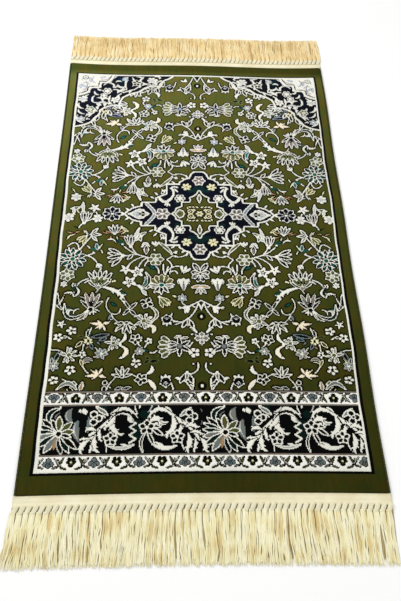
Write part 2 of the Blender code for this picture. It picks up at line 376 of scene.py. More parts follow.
# the field, one quarter: u outwards from the long axis, v from the medallion's middle to an end;
# a turn of 0 points outwards and 90 points to the end
fieldStems = [  # from, to, bend
    (238, 66, 263, 106, 0), (289, 96, 264, 104, 0.55), (268, 106, 286, 100, 0.5), (246, 94, 241, 100, 0),
    (250, 120, 222, 142, 0.12), (246, 122, 230, 114, 0), (137, 118, 167, 122, 0),
    (137, 118, 150, 97, 0.05), (137, 118, 166, 96, 0.05), (137, 118, 110, 128, 0),
    (122, 124, 157, 151, -0.1), (115, 127, 133, 152, -0.1), (110, 134, 120, 149, -0.12),
    (139, 200, 126, 212, 0.1), (126, 212, 114, 226, 0), (50, 126, 66, 128, -0.3),
    (66, 128, 68, 138, -0.5), (68, 138, 62, 152, 0.1), (30, 118, 56, 124, 0.16),
    (41, 152, 75, 171, -0.22), (50, 171, 64, 166, -0.35), (78, 172, 80, 146, 0.05), (76, 174, 70, 152, 0),
    (193, 232, 186, 272, -0.2), (186, 272, 166, 296, -0.12), (170, 233, 146, 266, 0),
    (240, 184, 262, 202, -0.12), (214, 206, 220, 218, 0), (232, 264, 242, 276, 0.1), (0, 240, 26, 256, 0),
    (26, 256, 46, 262, -0.06), (0, 262, 7, 246, 0), (8, 252, 24, 282, 0.06), (24, 282, 54, 301, 0.05),
    (36, 294, 62, 289, 0.1), (24, 308, 11, 320, 0.15), (42, 243, 30, 256, -0.1),
    (300, 359, 272, 368, 0.1), (112, 348, 108, 364, -0.35), (108, 364, 92, 364, -0.25),
    (134, 368, 134, 382, -0.3), (62, 436, 56, 457, 0.05), (34, 432, 12, 475, 0.06),
    (19, 446, 19, 426, -0.1), (44, 428, 52, 424, 0.2), (24, 417, 9, 392, -0.24), (24, 440, 19, 449, 0.2),
    (152, 418, 130, 421, 0.15), (162, 420, 174, 428, -0.2), (174, 428, 186, 448, -0.08),
    (236, 393, 224, 412, -0.1), (224, 306, 230, 320, 0.1), (238, 346, 239, 362, 0),
    (206, 374, 216, 376, 0), (214, 354, 208, 362, 0), (20, 344, 26, 354, 0), (264, 334, 278, 326, -0.1),
    (128, 342, 124, 352, -0.2), (213, 166, 216, 156, 0), (168, 260, 186, 272, 0.36),
    (266, 334, 276, 332, -0.4), (90, 170, 96, 150, -0.1),
]
fieldFronds = [  # curved leaves: from, to, bend, width, fill, rim, belly
    (262, 206, 266, 230, 0.30, 2, "cream", "cream", 0.5),
    (266, 230, 286, 222, -0.35, 2, "cream", "cream", 0.5),
    (268, 212, 279, 222, 0.5, 2.4, "cream", None, 0.5), (268, 220, 276, 226, 0.2, 2, "ink", None, 0.5),
    (284, 248, 236, 268, -0.52, 6, "pine", "cream", 0.4),
    (251, 262, 262, 276, -0.4, 3.4, "cream", None, 0.5),
    (266, 264, 274, 274, -0.5, 3.4, "mist", "cream", 0.5),
    (240, 274, 254, 288, 0.1, 4, "umber", "cream", 0.5),
    (118, 168, 125, 210, 0.27, 5, "ink", "cream", 0.5),
    (119, 180, 127, 205, 0.22, 5, "teal", "mist", 0.5),
    (125, 211, 141, 200, -0.22, 2.4, "cream", "cream", 0.5),
    (104, 257, 106, 295, 0.34, 4, "moss", "cream", 0.42),
    (106, 302, 100, 320, 0.30, 5, "straw", "cream", 0.5),
    (90, 86, 62, 118, 0.06, 5, "moss", "cream", 0.4), (112, 95, 127, 97, -0.62, 3, "mist", "cream", 0.5),
    (205, 78, 184, 86, 0.32, 4, "cream", None, 0.4),
    (156, 321, 167, 343, 0.22, 4.4, "cream", "cream", 0.5),
    (166, 349, 163, 379, 0.44, 5.4, "peach", "cream", 0.66),
    (164, 372, 161, 377, 0.44, 2.4, "olive", None, 0.6),
    (101, 398, 109, 415, 0.28, 5, "cream", "cream", 0.5),
    (105, 430, 92, 450, 0.05, 5, "peach", "cream", 0.5),
    (220, 390, 236, 396, -0.3, 2.4, "straw", None, 0.5),
    (218, 384, 236, 386, -0.3, 3, "umber", "mist", 0.5), (54, 426, 44, 430, 0.25, 5, "cream", None, 0.5),
    (243, 448, 281, 448, -0.36, 6, "slate", "cream", 0.5),
    (252, 450, 272, 450, -0.3, 4, "ink", None, 0.5), (300, 222, 288, 262, -0.14, 7, "ink", "cream", 0.45),
    (286, 226, 300, 256, 0.05, 3, "cream", None, 0.5), (22, 312, 11, 322, 0.1, 3, "cream", None, 0.5),
    (281, 378, 285, 396, -0.3, 2.4, "straw", None, 0.5),
]
fieldFlowers = {
    "lobed": [(197, 0, 22, 42)],
    "star": [(161, 159, 20, 28), (285, 298, 30, 20)],
    "starOpen": [(136, 166, -80, 31), (152, 192, -60, 31)],
    "blossom": [(290, 198, 0, 16)],
    "openBlossom": [(97, 132, 30, 32), (285, 174, 10, 30)],
    "posy": [(263, 314, 0, 21), (289, 330, 30, 21), (108, 340, 0, 16), (131, 391, 20, 21), (16, 368, 0, 23),
             (260, 405, 15, 22), (290, 427, 0, 20), (269, 200, 0, 11), (239, 370, 90, 17)],
    "bluet": [(40, 235, 0, 23), (125, 363, 30, 22), (201, 368, 20, 29), (293, 396, 0, 25)],
    "yellowEye": [(229, 338, 0, 19)],
    "pod": [(114, 247, 20, 26)],
    "podFive": [(135, 335, 20, 23), (120, 427, 10, 23)],
    "hearts": [(0, 334, 45, 28)],
    "cup": [(30, 412, 86, 27), (28, 286, 88, 25)],
    "pear": [(72, 434, 93, 21), (72, 288, -88, 20)],
    "tulip": [(152, 96, -84, 32)],
    "whiteTulip": [(168, 121, 10, 35)],
    "fan": [(240, 62, 180, 25)],
    "lily": [(154, 296, 76, 25), (158, 421, -90, 22)],
    "lotus": [(229, 262, -92, 44)],
    "smallLotus": [(188, 60, -88, 26)],
    "bud": [(39, 172, -112, 24), (24, 258, 40, 16), (98, 98, -90, 18), (222, 140, 110, 15),
            (52, 118, -70, 10)],
    "yellowBud": [(249, 66, 50, 23), (88, 232, 128, 27)],
    "carnation": [(119, 291, -150, 28), (179, 344, 172, 23), (265, 371, 172, 26)],
    "tanPalmette": [(217, 206, -92, 47)],
    "hood": [(84, 201, -90, 49)],
    "shell": [(45, 353, 2, 48)],
    "edgePalmette": [(276, 131, 8, 58)],
}
fieldDiscs = [
    (175, 82, 8, "pine"), (224, 104, 9, "pine"), (103, 155, 10, "pine"), (162, 222, 8, "pine"),
    (182, 250, 9, "pine"), (272, 262, 9, "pine"), (268, 209, 6, "ink"), (226, 322, 7, "ink"),
    (86, 212, 8, "pine"), (292, 382, 7, "shade"), (112, 362, 8, "shade"),
]
fieldLeaves = [  # u, v, turn, length, width, fill, and a rim if any
    (262, 54, 10, 14, 2.6, "tan"), (278, 60, -20, 16, 2.6, "tan"), (284, 64, 60, 16, 2.6, "straw"),
    (246, 66, -70, 18, 4, "mist"), (252, 58, -60, 10, 2.4, "straw"), (270, 46, -40, 14, 3, "shade"),
    (213, 88, 60, 22, 3, "straw"), (216, 104, 110, 12, 2.6, "straw"),
    (224, 104, -80, 16, 6, "teal", "mist"), (226, 106, -20, 14, 6, "teal"), (230, 112, 0, 4, 4, "cream"),
    (176, 86, 160, 12, 6, "teal"), (167, 92, -40, 7, 5, "cream"), (147, 118, 52, 16, 5, "ink", "cream"),
    (150, 92, -107, 52, 4, "mist", "cream"), (146, 80, -140, 26, 6, "mist", "cream"),
    (134, 60, 100, 20, 6, "moss", "cream"), (126, 58, 60, 18, 5, "cream"),
    (120, 56, 30, 14, 4, "moss", "cream"), (176, 62, -140, 20, 2.6, "straw"),
    (178, 66, 170, 16, 2.6, "tan"), (200, 60, -20, 16, 2.6, "tan"), (184, 66, 110, 12, 2.6, "straw"),
    (196, 66, 80, 10, 2.6, "tan"), (160, 52, -40, 16, 2.6, "moss", "straw"),
    (118, 116, -90, 22, 8, "ink", "cream"), (118, 114, -90, 14, 4, "mauve"),
    (100, 110, -90, 8, 2.4, "cream"), (80, 74, -60, 14, 5, "ink", "cream"),
    (104, 150, -150, 20, 7, "pine", "shade"), (92, 158, -60, 12, 4, "mist"),
    (64, 158, 80, 14, 2.4, "cream"), (192, 192, 196, 13, 4.6, "straw"), (194, 190, -110, 8, 3, "straw"),
    (236, 186, 40, 16, 2.6, "cream"), (236, 236, -20, 22, 2.6, "mist"), (236, 244, -10, 18, 4, "pine"),
    (200, 236, 60, 18, 3, "moss"), (234, 262, 72, 24, 4, "mauve", "cream"),
    (222, 260, 150, 14, 4, "cream"), (224, 262, 100, 14, 4, "cream"),
    (148, 262, -60, 24, 4, "ink", "cream"), (148, 260, 50, 20, 5, "ink", "cream"),
    (150, 262, -132, 22, 5, "ink", "cream"), (148, 264, 132, 18, 5, "ink", "cream"),
    (128, 300, 130, 10, 3, "cream"), (186, 274, 70, 16, 5, "slate"),
    (166, 300, 60, 18, 3, "ink", "cream"), (148, 294, 120, 20, 4, "ink", "cream"),
    (140, 282, -150, 12, 3, "cream"), (52, 232, -24, 10, 5, "straw"), (56, 238, 60, 8, 2.4, "moss"),
    (70, 244, 110, 12, 4, "straw"), (88, 222, -70, 6, 5, "cream"), (104, 196, 50, 18, 5, "ink", "cream"),
    (110, 186, 160, 12, 3, "cream"), (60, 206, -20, 14, 4, "mist", "cream"),
    (70, 216, -40, 10, 3, "cream"), (124, 212, 120, 16, 6, "mist", "cream"),
    (60, 270, 70, 20, 2.8, "cream"), (40, 262, -40, 10, 2.4, "cream"),
    (232, 328, -100, 16, 5, "ink", "cream"), (222, 330, 190, 34, 6, "ink", "slate"),
    (206, 338, 205, 14, 5, "pine", "slate"), (212, 340, 130, 10, 3, "slate"),
    (236, 330, -10, 14, 3, "ink", "moss"), (242, 340, 50, 16, 5, "ink", "straw"),
    (224, 346, 110, 12, 4, "ink", "slate"), (228, 350, 60, 10, 2.4, "tan"),
    (186, 362, -60, 6, 3, "cream"), (282, 362, 66, 26, 6, "shade", "slate"),
    (298, 378, 100, 22, 5, "shade", "mist"), (186, 360, 40, 10, 2.6, "straw"),
    (236, 396, -70, 14, 3, "umber", "straw"), (60, 292, 150, 8, 3, "cream"),
    (33, 456, 100, 16, 6, "cream"), (34, 458, 30, 12, 5, "cream"), (33, 458, 150, 8, 4, "cream"),
    (140, 444, 20, 16, 4, "ink", "mist"), (156, 444, 20, 14, 4, "ink", "mist"),
    (176, 446, -30, 10, 3, "cream"), (236, 450, -98, 18, 5, "tan", "cream"),
    (245, 437, -28, 12, 4, "moss", "cream"), (264, 429, -20, 10, 3.4, "cream"),
    (88, 386, 6, 18, 6, "ink", "moss"), (104, 386, -50, 13, 5, "ink", "moss"),
    (106, 384, 40, 12, 5, "ink", "moss"), (84, 372, 30, 10, 3, "moss"),
    (30, 332, 10, 12, 3, "moss", "cream"), (44, 328, 20, 12, 3, "moss", "cream"),
    (18, 324, 10, 5, 4, "cream"), (24, 352, 0, 7, 4, "cream"), (16, 394, 0, 4, 4, "cream"),
    (8, 334, -60, 14, 4, "mist"), (250, 452, -30, 14, 6, "ink", "straw"), (186, 290, -120, 6, 3, "cream"),
    (122, 328, 90, 6, 3, "cream"), (222, 154, -150, 10, 3, "cream"), (212, 158, -60, 12, 4, "mist"),
]


featherBarbs = [
    (0.3, 1, 16, 5, 40), (0.55, 1, 14, 5, 40), (0.75, 1, 12, 4, 36), (0.45, -1, 17, 5, 40),
    (0.7, -1, 13, 5, 36),
]
mapleLobes = [(-4, 26, 8), (200, 16, 8), (112, 20, 5), (66, 15, 4.4), (38, 20, 5), (-38, 16, 4)]


def mapleLeaf(chart, u, v, up, yarn):
    for turn, length, width in mapleLobes:
        leaf(chart, u, v, up * turn, length, width, yarn)


crownLines = [[(-8, 246), (0, 264), (8, 246)], [(14, 258), (22, 252), (34, 272)],
              [(34, 272), (36, 260), (48, 258)]]


# leafy palmette below the medallion, then the iris, the trefoil and the zigzag crown
def middleFlowers(chart):
    for turn, length, width in ((-60, 30, 9), (-8, 20, 9), (34, 21, 9), (72, 22, 8)):
        for angle in (turn, 180 - turn):
            leaf(chart, 0, 170, angle, length, width, "ink", "cream", belly=0.66, blunt=0.7, vein="mist")
    disc(chart, 0, 172, 3.4, "ink", "cream", 1.8)
    disc(chart, 8, 186, 3.4, "pine")
    for turn, width in ((-106, 11), (-74, 11), (-90, 15)):
        leaf(chart, 37, 220, turn, 38, width, "cream", None, belly=0.74)
    leaf(chart, 37, 216, -90, 22, 6, "slate")
    for side in (-1, 1):
        leaf(chart, 37 + side * 2, 218, -90 + side * 21, 30, 2.6, "ink")
    leaf(chart, 37, 200, -90, 10, 3, "ink")
    leaf(chart, 0, 203, 12, 20, 5, "tan", "cream", 2.0)
    for turn in (50, 130, 90):
        leaf(chart, 0, 208, turn, 17, 5, "mauve", "cream", 2.0)
    for points in crownLines:
        ribbon(chart, np.array(points, float), 2.6, "cream")
    for v in (281, 443):
        disc(chart, 0, v, 10, "shade")
        disc(chart, 0, v, 3.8, "cream")
    ribbon(chart, np.array([(0, 458), (8, 475), (14, 484)], float), 2.8, "cream")
    leaf(chart, 0, 484, -90, 18, 9, "ink")


def paintStems(chart, stems):
    for u0, v0, u1, v1, bend in stems:
        ribbon(chart, arc((u0, v0), (u1, v1), bend), 2.6, "cream")


def paintFlowers(chart, kinds):
    for kind, rows in kinds.items():
        for row in rows:
            flower(chart, kind, *row)


def paintField(chart):
    paintStems(chart, fieldStems)
    for u, v, radius, yarn in fieldDiscs:
        leaf(chart, u - radius, v + radius * 0.7, -35, radius * 2.7, radius * 1.05, yarn, vein="teal")
    for row in fieldLeaves:
        leaf(chart, *row, rimWidth=2.0)
    for u0, v0, u1, v1, bend, width, yarn, rim, belly in fieldFronds:
        ribbon(chart, arc((u0, v0), (u1, v1), bend), width, yarn, rim, 1.5 if yarn == "cream" else 2.0,
               belly)
    feather = arc((212, 205), (158, 240), 0.14)
    ribbon(chart, feather, 9, "cream", belly=0.42)
    sprout(chart, feather, featherBarbs, "cream")
    paintFlowers(chart, fieldFlowers)
    mapleLeaf(chart, 202, 298, 1, "peach")
    mapleLeaf(chart, 204, 417, -1, "peach")
    for v in (434, 447):
        disc(chart, 190, v, 3.6, "shade", "cream", 2.2)
    middleFlowers(chart)


# the medallion, one quarter, in the same places as the field
medallionSides = [
    (-38, 23, -5), (0, 11, 0), (-29, 0, 0), (-3, 14, 2), (-25, 13, 0), (0, 30, 0), (-28, 0, 0),
    (-6, 10, -2), (-17, 9, -2), (-3, 8, 0), (-19, 13, -6),
]
medallionSpikes = [
    (106, 50, 35), (98, 60, 50), (78, 78, -30), (58, 97, 40), (30, 114, 70), (152, 24, 60), (162, 14, 40),
    (170, 4, 20), (84, 70, 60), (36, 108, 50),
]
quatrefoilSides = [(-10, 16, 2), (-12, 6, 0), (0, 12, 0), (-17, 0, 0), (-2, 16, 2), (-19, 20, 4)]
medallionFlowers = [
    ("crown", 85, 0, 90, 33), ("dotted", 45, 48, 90, 26), ("crown", 0, 104, 90, 28),
    ("daisy", 30, 84, 20, 23),
]


def bothWays(points):  # with its mirror image across v = 0
    return np.vstack([points, points[::-1] * (1, -1)])


def toMiddle(points):  # closed on the far side of the quarter's two axes
    return np.vstack([points, [(-30, points[-1][1]), (-30, -30), (points[0][0], -30)]])


def paintMedallion(chart):
    outline = edgePath((168, 0), medallionSides)
    for u, v, turn in medallionSpikes:
        leaf(chart, u - 3, v - 3, turn, 13, 4.6, "cream")
    area(chart, toMiddle(outline), "navy", "cream", 3.8)
    for place in ((4, 74, 12), (20, 72, 7), (52, 34, 6)):
        disc(chart, *place, "pine")
    # the pendant at the side: a dark point, a pale bud and its chevrons
    area(chart, bothWays(edgePath((163, 0), [(-28, 19, 2), (-22, -19, -3)])), "ink")
    for turn, length, width in ((160, 34, 9), (200, 34, 9), (180, 44, 15)):
        leaf(chart, 160, 0, turn, length, width, "mist", "cream", 3.0, belly=0.7)
    for v in (5, -5):
        leaf(chart, 152, v * 0.4, 180 - v * 3, 22, 2.2, "slate")
    area(chart, bothWays(np.array([(140, 0), (137, 3), (132, 3), (131, 8), (126, 8), (124, 0)], float)),
         "shade")
    leaf(chart, 134, 0, 180, 9, 3, "straw")
    ribbon(chart, np.array([(101, 0), (106, 12), (120, 31)], float), 5.0, "slate", "cream", 1.8)
    # the white scrolls round the quatrefoil
    for start, end, bend, width in (((91, 47), (66, 47), 0.40, 7), ((67, 46), (65, 80), 0.20, 5),
                                    ((66, 80), (51, 82), -0.2, 4.4)):
        ribbon(chart, arc(start, end, bend), width, "cream")
    ribbon(chart, arc((86, 43), (70, 43), 0.3), 2.4, "mist")
    leaf(chart, 60, 80, -130, 18, 4.6, "cream")
    flower(chart, "bud", 73, 37, -84, 14)
    area(chart, toMiddle(edgePath((62, 0), quatrefoilSides)), "olive", "cream", 3.2)
    area(chart, np.array([(55, 0), (46, 12), (39, 8), (36, 0), (39, -8), (46, -12)], float), "moss",
         "cream", 2.6)
    disc(chart, 45, 0, 2.6, "ink")
    leaf(chart, 0, 36, 90, 24, 7, "moss", "cream", 2.8)
    disc(chart, 21, 8, 4.6, "olive", "straw", 2.6)
    disc(chart, 21, 8, 1.7, "straw")
    for u, v, turn in ((3, 19, 30), (11, 20, 20), (19, 20, 24), (27, 15, 70), (10, 9, 60)):
        leaf(chart, u, v, turn, 8, 3.8, "straw")
    flower(chart, "yellowEye", 0, 0, 30, 20)
    for row in medallionFlowers:
        flower(chart, *row)


# what stands near the long edges at mid length and isn't mirrored end to end: u, y
sideFlowers = {"star": [(237, 84, 60, 27)],
               "blossom": [(229, 53, 20, 24), (294, 54, 0, 26), (281, 116, 0, 25)],
               "tulip": [(259, 38, 98, 34)]}
sideLeaves = [
    (262, 72, 86, 28, 4, "mist", "cream"), (270, 66, 60, 18, 3, "straw"),
    (270, 84, -10, 20, 6, "moss", "cream"), (282, 66, 80, 18, 4, "mist", "cream"),
    (266, 92, -50, 16, 2.6, "cream"), (276, 64, 0, 18, 2.6, "straw"), (272, 8, -30, 22, 2.6, "straw"),
    (246, 122, 200, 16, 3, "mist"),
]
sideStems = [(259, 38, 268, 24, 0.1), (238, 52, 256, 42, 0), (233, 72, 230, 62, 0)]


def paintSides(chart):
    paintStems(chart, sideStems)
    for row in sideLeaves:
        leaf(chart, *row, rimWidth=2.0)
    paintFlowers(chart, sideFlowers)


# a far corner: u, y
cornerInner = [(14, -29, -2), (18, 0, 0), (2, -20, 0), (22, -2, 0), (5, -17, 2), (28, -14, -2)]
cornerOuter = [
    (22, -17, -2), (15, -24, 2), (34, -6, 3), (16, -16, 0), (40, -22, 3), (9, -30, 2), (24, -4, 2),
    (22, -18, 2), (1, -14, 0), (18, -28, 2), (40, -18, -3),
]
cornerFlowers = [
    ("dotted", 230, 486, 90, 25), ("dotted", 238, 468, 60, 20), ("blossom", 209, 452, 10, 23),
    ("blossom", 290, 452, 0, 25), ("openBlossom", 268, 414, 20, 22), ("bluet", 289, 378, 0, 24),
    ("blossom", 118, 529, 90, 24), ("bluet", 186, 534, 0, 19), ("podFive", 156, 519, 20, 22),
]
cornerFronds = [  # white curled leaves: from, to, bend, width, fill
    (180, 543, 181, 492, 0.08, 5, "cream"), (181, 492, 204, 478, 0.20, 5, "cream"),
    (204, 478, 216, 492, 0.45, 4, "cream"), (186, 504, 204, 512, -0.35, 5, "cream"),
    (204, 512, 214, 500, -0.2, 4, "mist"), (196, 504, 196, 484, -0.3, 5, "mist"),
    (208, 544, 222, 516, 0.18, 5, "cream"), (222, 516, 216, 500, -0.3, 4, "cream"),
    (196, 524, 210, 520, 0.3, 4, "cream"), (222, 516, 240, 508, 0.25, 4, "mist"),
    (244, 488, 254, 500, -0.3, 4, "cream"), (252, 470, 262, 484, -0.25, 4, "cream"),
    (226, 456, 240, 446, 0.40, 5, "cream"), (240, 446, 256, 458, 0.35, 5, "cream"),
    (230, 442, 254, 432, 0.2, 5, "mist"), (250, 428, 262, 440, 0.3, 4, "mist"),
    (262, 440, 262, 466, -0.2, 4, "cream"), (222, 468, 222, 440, 0.1, 4, "cream"),
    (138, 543, 146, 506, 0.16, 4, "cream"), (168, 541, 166, 506, -0.12, 4, "cream"),
    (140, 536, 156, 544, 0.1, 4, "mist"), (96, 541, 110, 544, 0.2, 4, "cream"),
    (90, 528, 104, 518, 0.2, 3, "cream"), (106, 512, 128, 510, -0.1, 4, "mist"),
    (278, 470, 284, 440, 0.2, 4, "cream"), (298, 436, 284, 416, 0.3, 5, "cream"),
    (276, 430, 272, 424, 0.3, 4, "mist"), (298, 412, 282, 396, 0.2, 4, "cream"),
    (264, 402, 278, 388, 0.1, 4, "mist"), (284, 364, 298, 392, -0.25, 4, "cream"),
]
cornerLines = [  # on the white field at the very corner: from, to, bend
    (292, 486, 286, 520, 0.2), (276, 508, 292, 514, 0.3), (262, 516, 266, 540, -0.3),
    (246, 530, 226, 540, 0.2), (296, 524, 282, 542, -0.2), (300, 500, 292, 506, 0),
    (298, 474, 280, 500, 0.1), (270, 522, 282, 534, 0.4),
]
cornerSprays = [  # white growth on the field side of the corner's edge: u, y, turn, length, width
    (186, 426, -60, 26, 6), (178, 430, -20, 20, 5), (194, 430, -110, 20, 5), (208, 420, 200, 22, 6),
    (232, 404, -80, 22, 6), (222, 412, -110, 18, 5), (196, 444, -160, 18, 6), (150, 488, -90, 20, 6),
    (118, 496, -70, 22, 6), (104, 500, -100, 20, 6), (246, 390, -70, 18, 6), (260, 372, -110, 18, 5),
    (280, 362, -80, 14, 5), (86, 522, -80, 18, 4),
]


def paintCorner(chart):
    outer = edgePath((62, 547), cornerOuter)
    ends = np.array([(330, 350), (330, 570), (62, 570)], float)
    for u, y, turn, length, width in cornerSprays:
        leaf(chart, u, y, turn, length, width, "shade", "cream", 2.2)
    area(chart, np.vstack([outer, ends]), "cream", "cream", 2.4)
    area(chart, np.vstack([outer + (2, 2), ends]), "ink")
    for place in ((205, 534, 12), (270, 452, 14), (284, 400, 10), (262, 482, 9)):
        disc(chart, *place, "navy")
    disc(chart, 196, 528, 9, "pine")
    scroll = outer[4:-4] + (12, 9)
    ribbon(chart, scroll, 3.6, "cream")
    leaves = [(0.03 + 0.058 * i, 1 if i % 3 else -1, 15 if i % 2 else 11, 6, 46) for i in range(17)]
    sprout(chart, scroll, leaves, "cream")
    for share in np.linspace(0.06, 0.97, 9):  # where the ground comes through it
        u, y = scroll[int(share * (len(scroll) - 1))]
        leaf(chart, u - 5, y - 7, 55, 15, 4.6, "ink")
    for u0, y0, u1, y1, bend, width, yarn in cornerFronds:
        ribbon(chart, arc((u0, y0), (u1, y1), bend), width * 0.9, yarn, "cream", 0.9, 0.4)
    for row in cornerFlowers:
        flower(chart, *row)
    inner = edgePath((214, 547), cornerInner)
    area(chart, np.vstack([inner, [(330, 465), (330, 570), (214, 570)]]), "cream", "ink", 2.6)
    for shift, yarn in ((5.5, "ink"), (0, "cream")):
        ribbon(chart, inner + (shift, shift), 2.4, yarn)
    for u0, y0, u1, y1, bend in cornerLines:
        ribbon(chart, arc((u0, y0), (u1, y1), bend), 2.4, "mauve")
    for u, y, turn in ((274, 520, 80), (284, 498, 40), (250, 536, 160), (298, 494, 90)):
        leaf(chart, u, y, turn, 14, 4, "mist", "slate", 1.7)
    disc(chart, 288, 536, 6, "cream", "ink", 1.8)
    disc(chart, 288, 536, 2.4, "slate")


# the guard stripes: the repeat, then where each stripe lies and which way up
guardRepeat = 82.7
guards = {"upper": {"near": -415, "far": -387, "houseAt": -240.8, "up": 1},
          "lower": {"near": -546, "far": -520, "houseAt": -240.8, "up": -1}}


guardLeaves = [  # beside each house: out, up, turn off upright, length, width, fill, rim width
    (14, -10, -30, 22, 3.2, "moss", 1.6), (31, -9, 40, 19, 2.6, "mist", 1.6),
    (19, 9, 76, 11, 2.0, "moss", 1.5), (33, 10, 110, 8, 2.4, "mauve", 1.4),
    (23, -7, -10, 8, 2.2, "mist", 1.4),
]
houseDiscs = [(0, 4.5, 5.0), (-5.0, -1.5, 4.6), (5.0, -1.5, 4.6), (-4.0, -6.8, 4.0), (4.0, -6.8, 4.0)]
betweenDiscs = [(0, -4.5, 4.2), (-5.4, 2.0, 4.0), (5.4, 2.0, 4.0), (0, 4.8, 3.8)]


def paintGuard(chart, near, far, houseAt, up):
    band = window(chart, -400, 400, near, far)[0]
    chart["yarn"][band] = yarnCode["white"]
    middle = (near + far) / 2 if up > 0 else far - 12
    for i in range(9):
        x = houseAt + (i - 1) * guardRepeat
        for side in (1, -1):
            for dx, dy, turn, length, width, yarn, rim in guardLeaves:
                leaf(chart, x + side * dx, middle + up * dy, up * (90 + side * turn), length, width, yarn,
                     "shade", rim)
        for dx, dy, radius in houseDiscs:
            disc(chart, x + dx, middle + up * dy, radius, "shade")
        leaf(chart, x, middle - up * 6, 90 * up, 11, 5.0, "moss")
        disc(chart, x, middle - up, 1.8, "straw")
        for dx, dy, radius in betweenDiscs:
            disc(chart, x + guardRepeat / 2 + dx, middle + up * dy, radius, "slate", "shade", 1.6)
        for turn in (90, 210, 330):
            leaf(chart, x + guardRepeat / 2, middle, turn * up, 8, 3.0, "steel")


# the main border, one repeat: x, y
borderRepeat = 310
border = {"near": -517, "far": -418}
borderGrounds = [
    (-108, -436, 9, "pine"), (-120, -466, 10, "pine"), (-184, -423, 6, "pine"), (-290, -452, 7, "pine"),
]
borderStar = [  # the big flower at the left of each repeat: turn, length, width, fill, rim
    (139, 44, 8, "ink", "cream"), (156, 43, 7, "pine", "cream"), (173, 41, 8, "pine", "cream"),
    (193, 42, 9, "slate", "cream"), (214, 44, 10, "pine", "cream"), (236, 44, 10, "slate", "cream"),
    (-104, 34, 8, "tan", None), (-81, 41, 10, "shade", "mist"), (-62, 43, 11, "pine", "cream"),
    (-43, 45, 9, "shade", "cream"), (118, 30, 8, "shade", "cream"), (92, 34, 10, "moss", "cream"),
    (44, 31, 9, "moss", "cream"), (8, 28, 9, "moss", "cream"), (-20, 24, 6, "ink", "cream"),
]
borderLeaves = [  # x, y, turn, length, width, fill, and a rim if any
    (-224, -422, -62, 15, 10, "cream"), (-230, -424, -70, 8, 6, "cream"),
    (-198, -420, -38, 26, 5, "slate", "cream"), (-40, -440, 40, 26, 5, "slate", "cream"),
    (-100, -474, -66, 26, 5, "ink", "cream"), (-92, -466, -34, 22, 6, "ink", "cream"),
    (-94, -460, -6, 16, 5, "shade", "cream"), (-92, -458, 24, 12, 4, "cream"),
    (-118, -424, 74, 10, 3, "cream"), (-140, -440, -50, 18, 9, "cream"), (-128, -452, 110, 8, 4, "mist"),
]
borderFronds = [  # from, to, bend, width, fill, rim
    (-280, -458, -266, -421, 0.36, 8, "pine", "cream"), (-272, -450, -264, -430, 0.3, 2.4, "slate", None),
    (-243, -421, -240, -453, -0.30, 13, "slate", None),
    (-252, -426, -247, -450, -0.24, 2.4, "mist", None),
    (-231, -444, -227, -492, -0.12, 13, "slate", None),
    (-236, -448, -229, -486, -0.14, 2.4, "mist", None), (-214, -438, -214, -474, 0.10, 9, "slate", None),
    (-2, -424, -2, -458, 0.2, 7, "slate", None), (-126, -416, -118, -438, -0.1, 2.4, "cream", None),
    (-92, -414, -102, -432, 0.06, 2.4, "mist", None),
    (-106, -474, -110, -512, -0.14, 3.2, "ink", "cream"),
    (-172, -494, -176, -514, -0.14, 2.4, "cream", None), (-40, -490, -33, -510, 0, 2.6, "cream", None),
    (-172, -500, -126, -497, -0.12, 4.4, "mist", "cream"),
    (-152, -497, -136, -502, 0.1, 5, "cream", None), (-92, -497, -48, -500, -0.14, 5, "cream", "cream"),
    (-88, -492, -68, -503, 0, 5, "cream", None),
]
borderScrolls = [  # the white scrolls: from, to, bend, width, belly
    (-208, -477, -165, -435, -0.05, 6, None), (-174, -436, -119, -445, 0.30, 10, 0.40),
    (-166, -440, -127, -450, 0.27, 5, 0.5), (-170, -438, -146, -480, -0.20, 14, 0.42),
    (-163, -437, -184, -464, 0.10, 12, 0.45), (-180, -444, -196, -442, -0.3, 5, 0.5),
    (-190, -464, -186, -491, -0.10, 8, 0.5), (-196, -470, -218, -468, -0.22, 9, 0.5),
    (-198, -476, -194, -513, -0.10, 12, 0.5), (-200, -478, -225, -482, 0.25, 10, 0.5),
    (-206, -486, -226, -512, -0.15, 13, 0.55), (-206, -496, -208, -513, 0.10, 7, 0.5),
    (-56, -436, -103, -447, -0.34, 11, 0.40), (-100, -454, -74, -461, 0.48, 14, 0.45),
    (-56, -438, -72, -481, 0.25, 14, 0.42), (-62, -452, -78, -448, 0.2, 6, 0.5),
    (-60, -434, -4, -488, 0.06, 6, None), (-50, -440, -37, -464, 0.12, 9, 0.45),
    (-40, -456, -46, -476, 0.15, 8, 0.5), (-32, -464, -6, -466, 0.25, 10, 0.5),
    (-26, -474, -31, -512, 0.14, 13, 0.5), (-22, -474, 2, -480, 0.20, 8, 0.5),
    (-13, -484, -17, -513, 0.10, 8, 0.5), (-4, -484, 6, -513, 0.14, 12, 0.5),
    (-70, -420, -56, -432, 0.1, 6, 0.5), (-156, -420, -172, -432, 0.1, 6, 0.5),
]


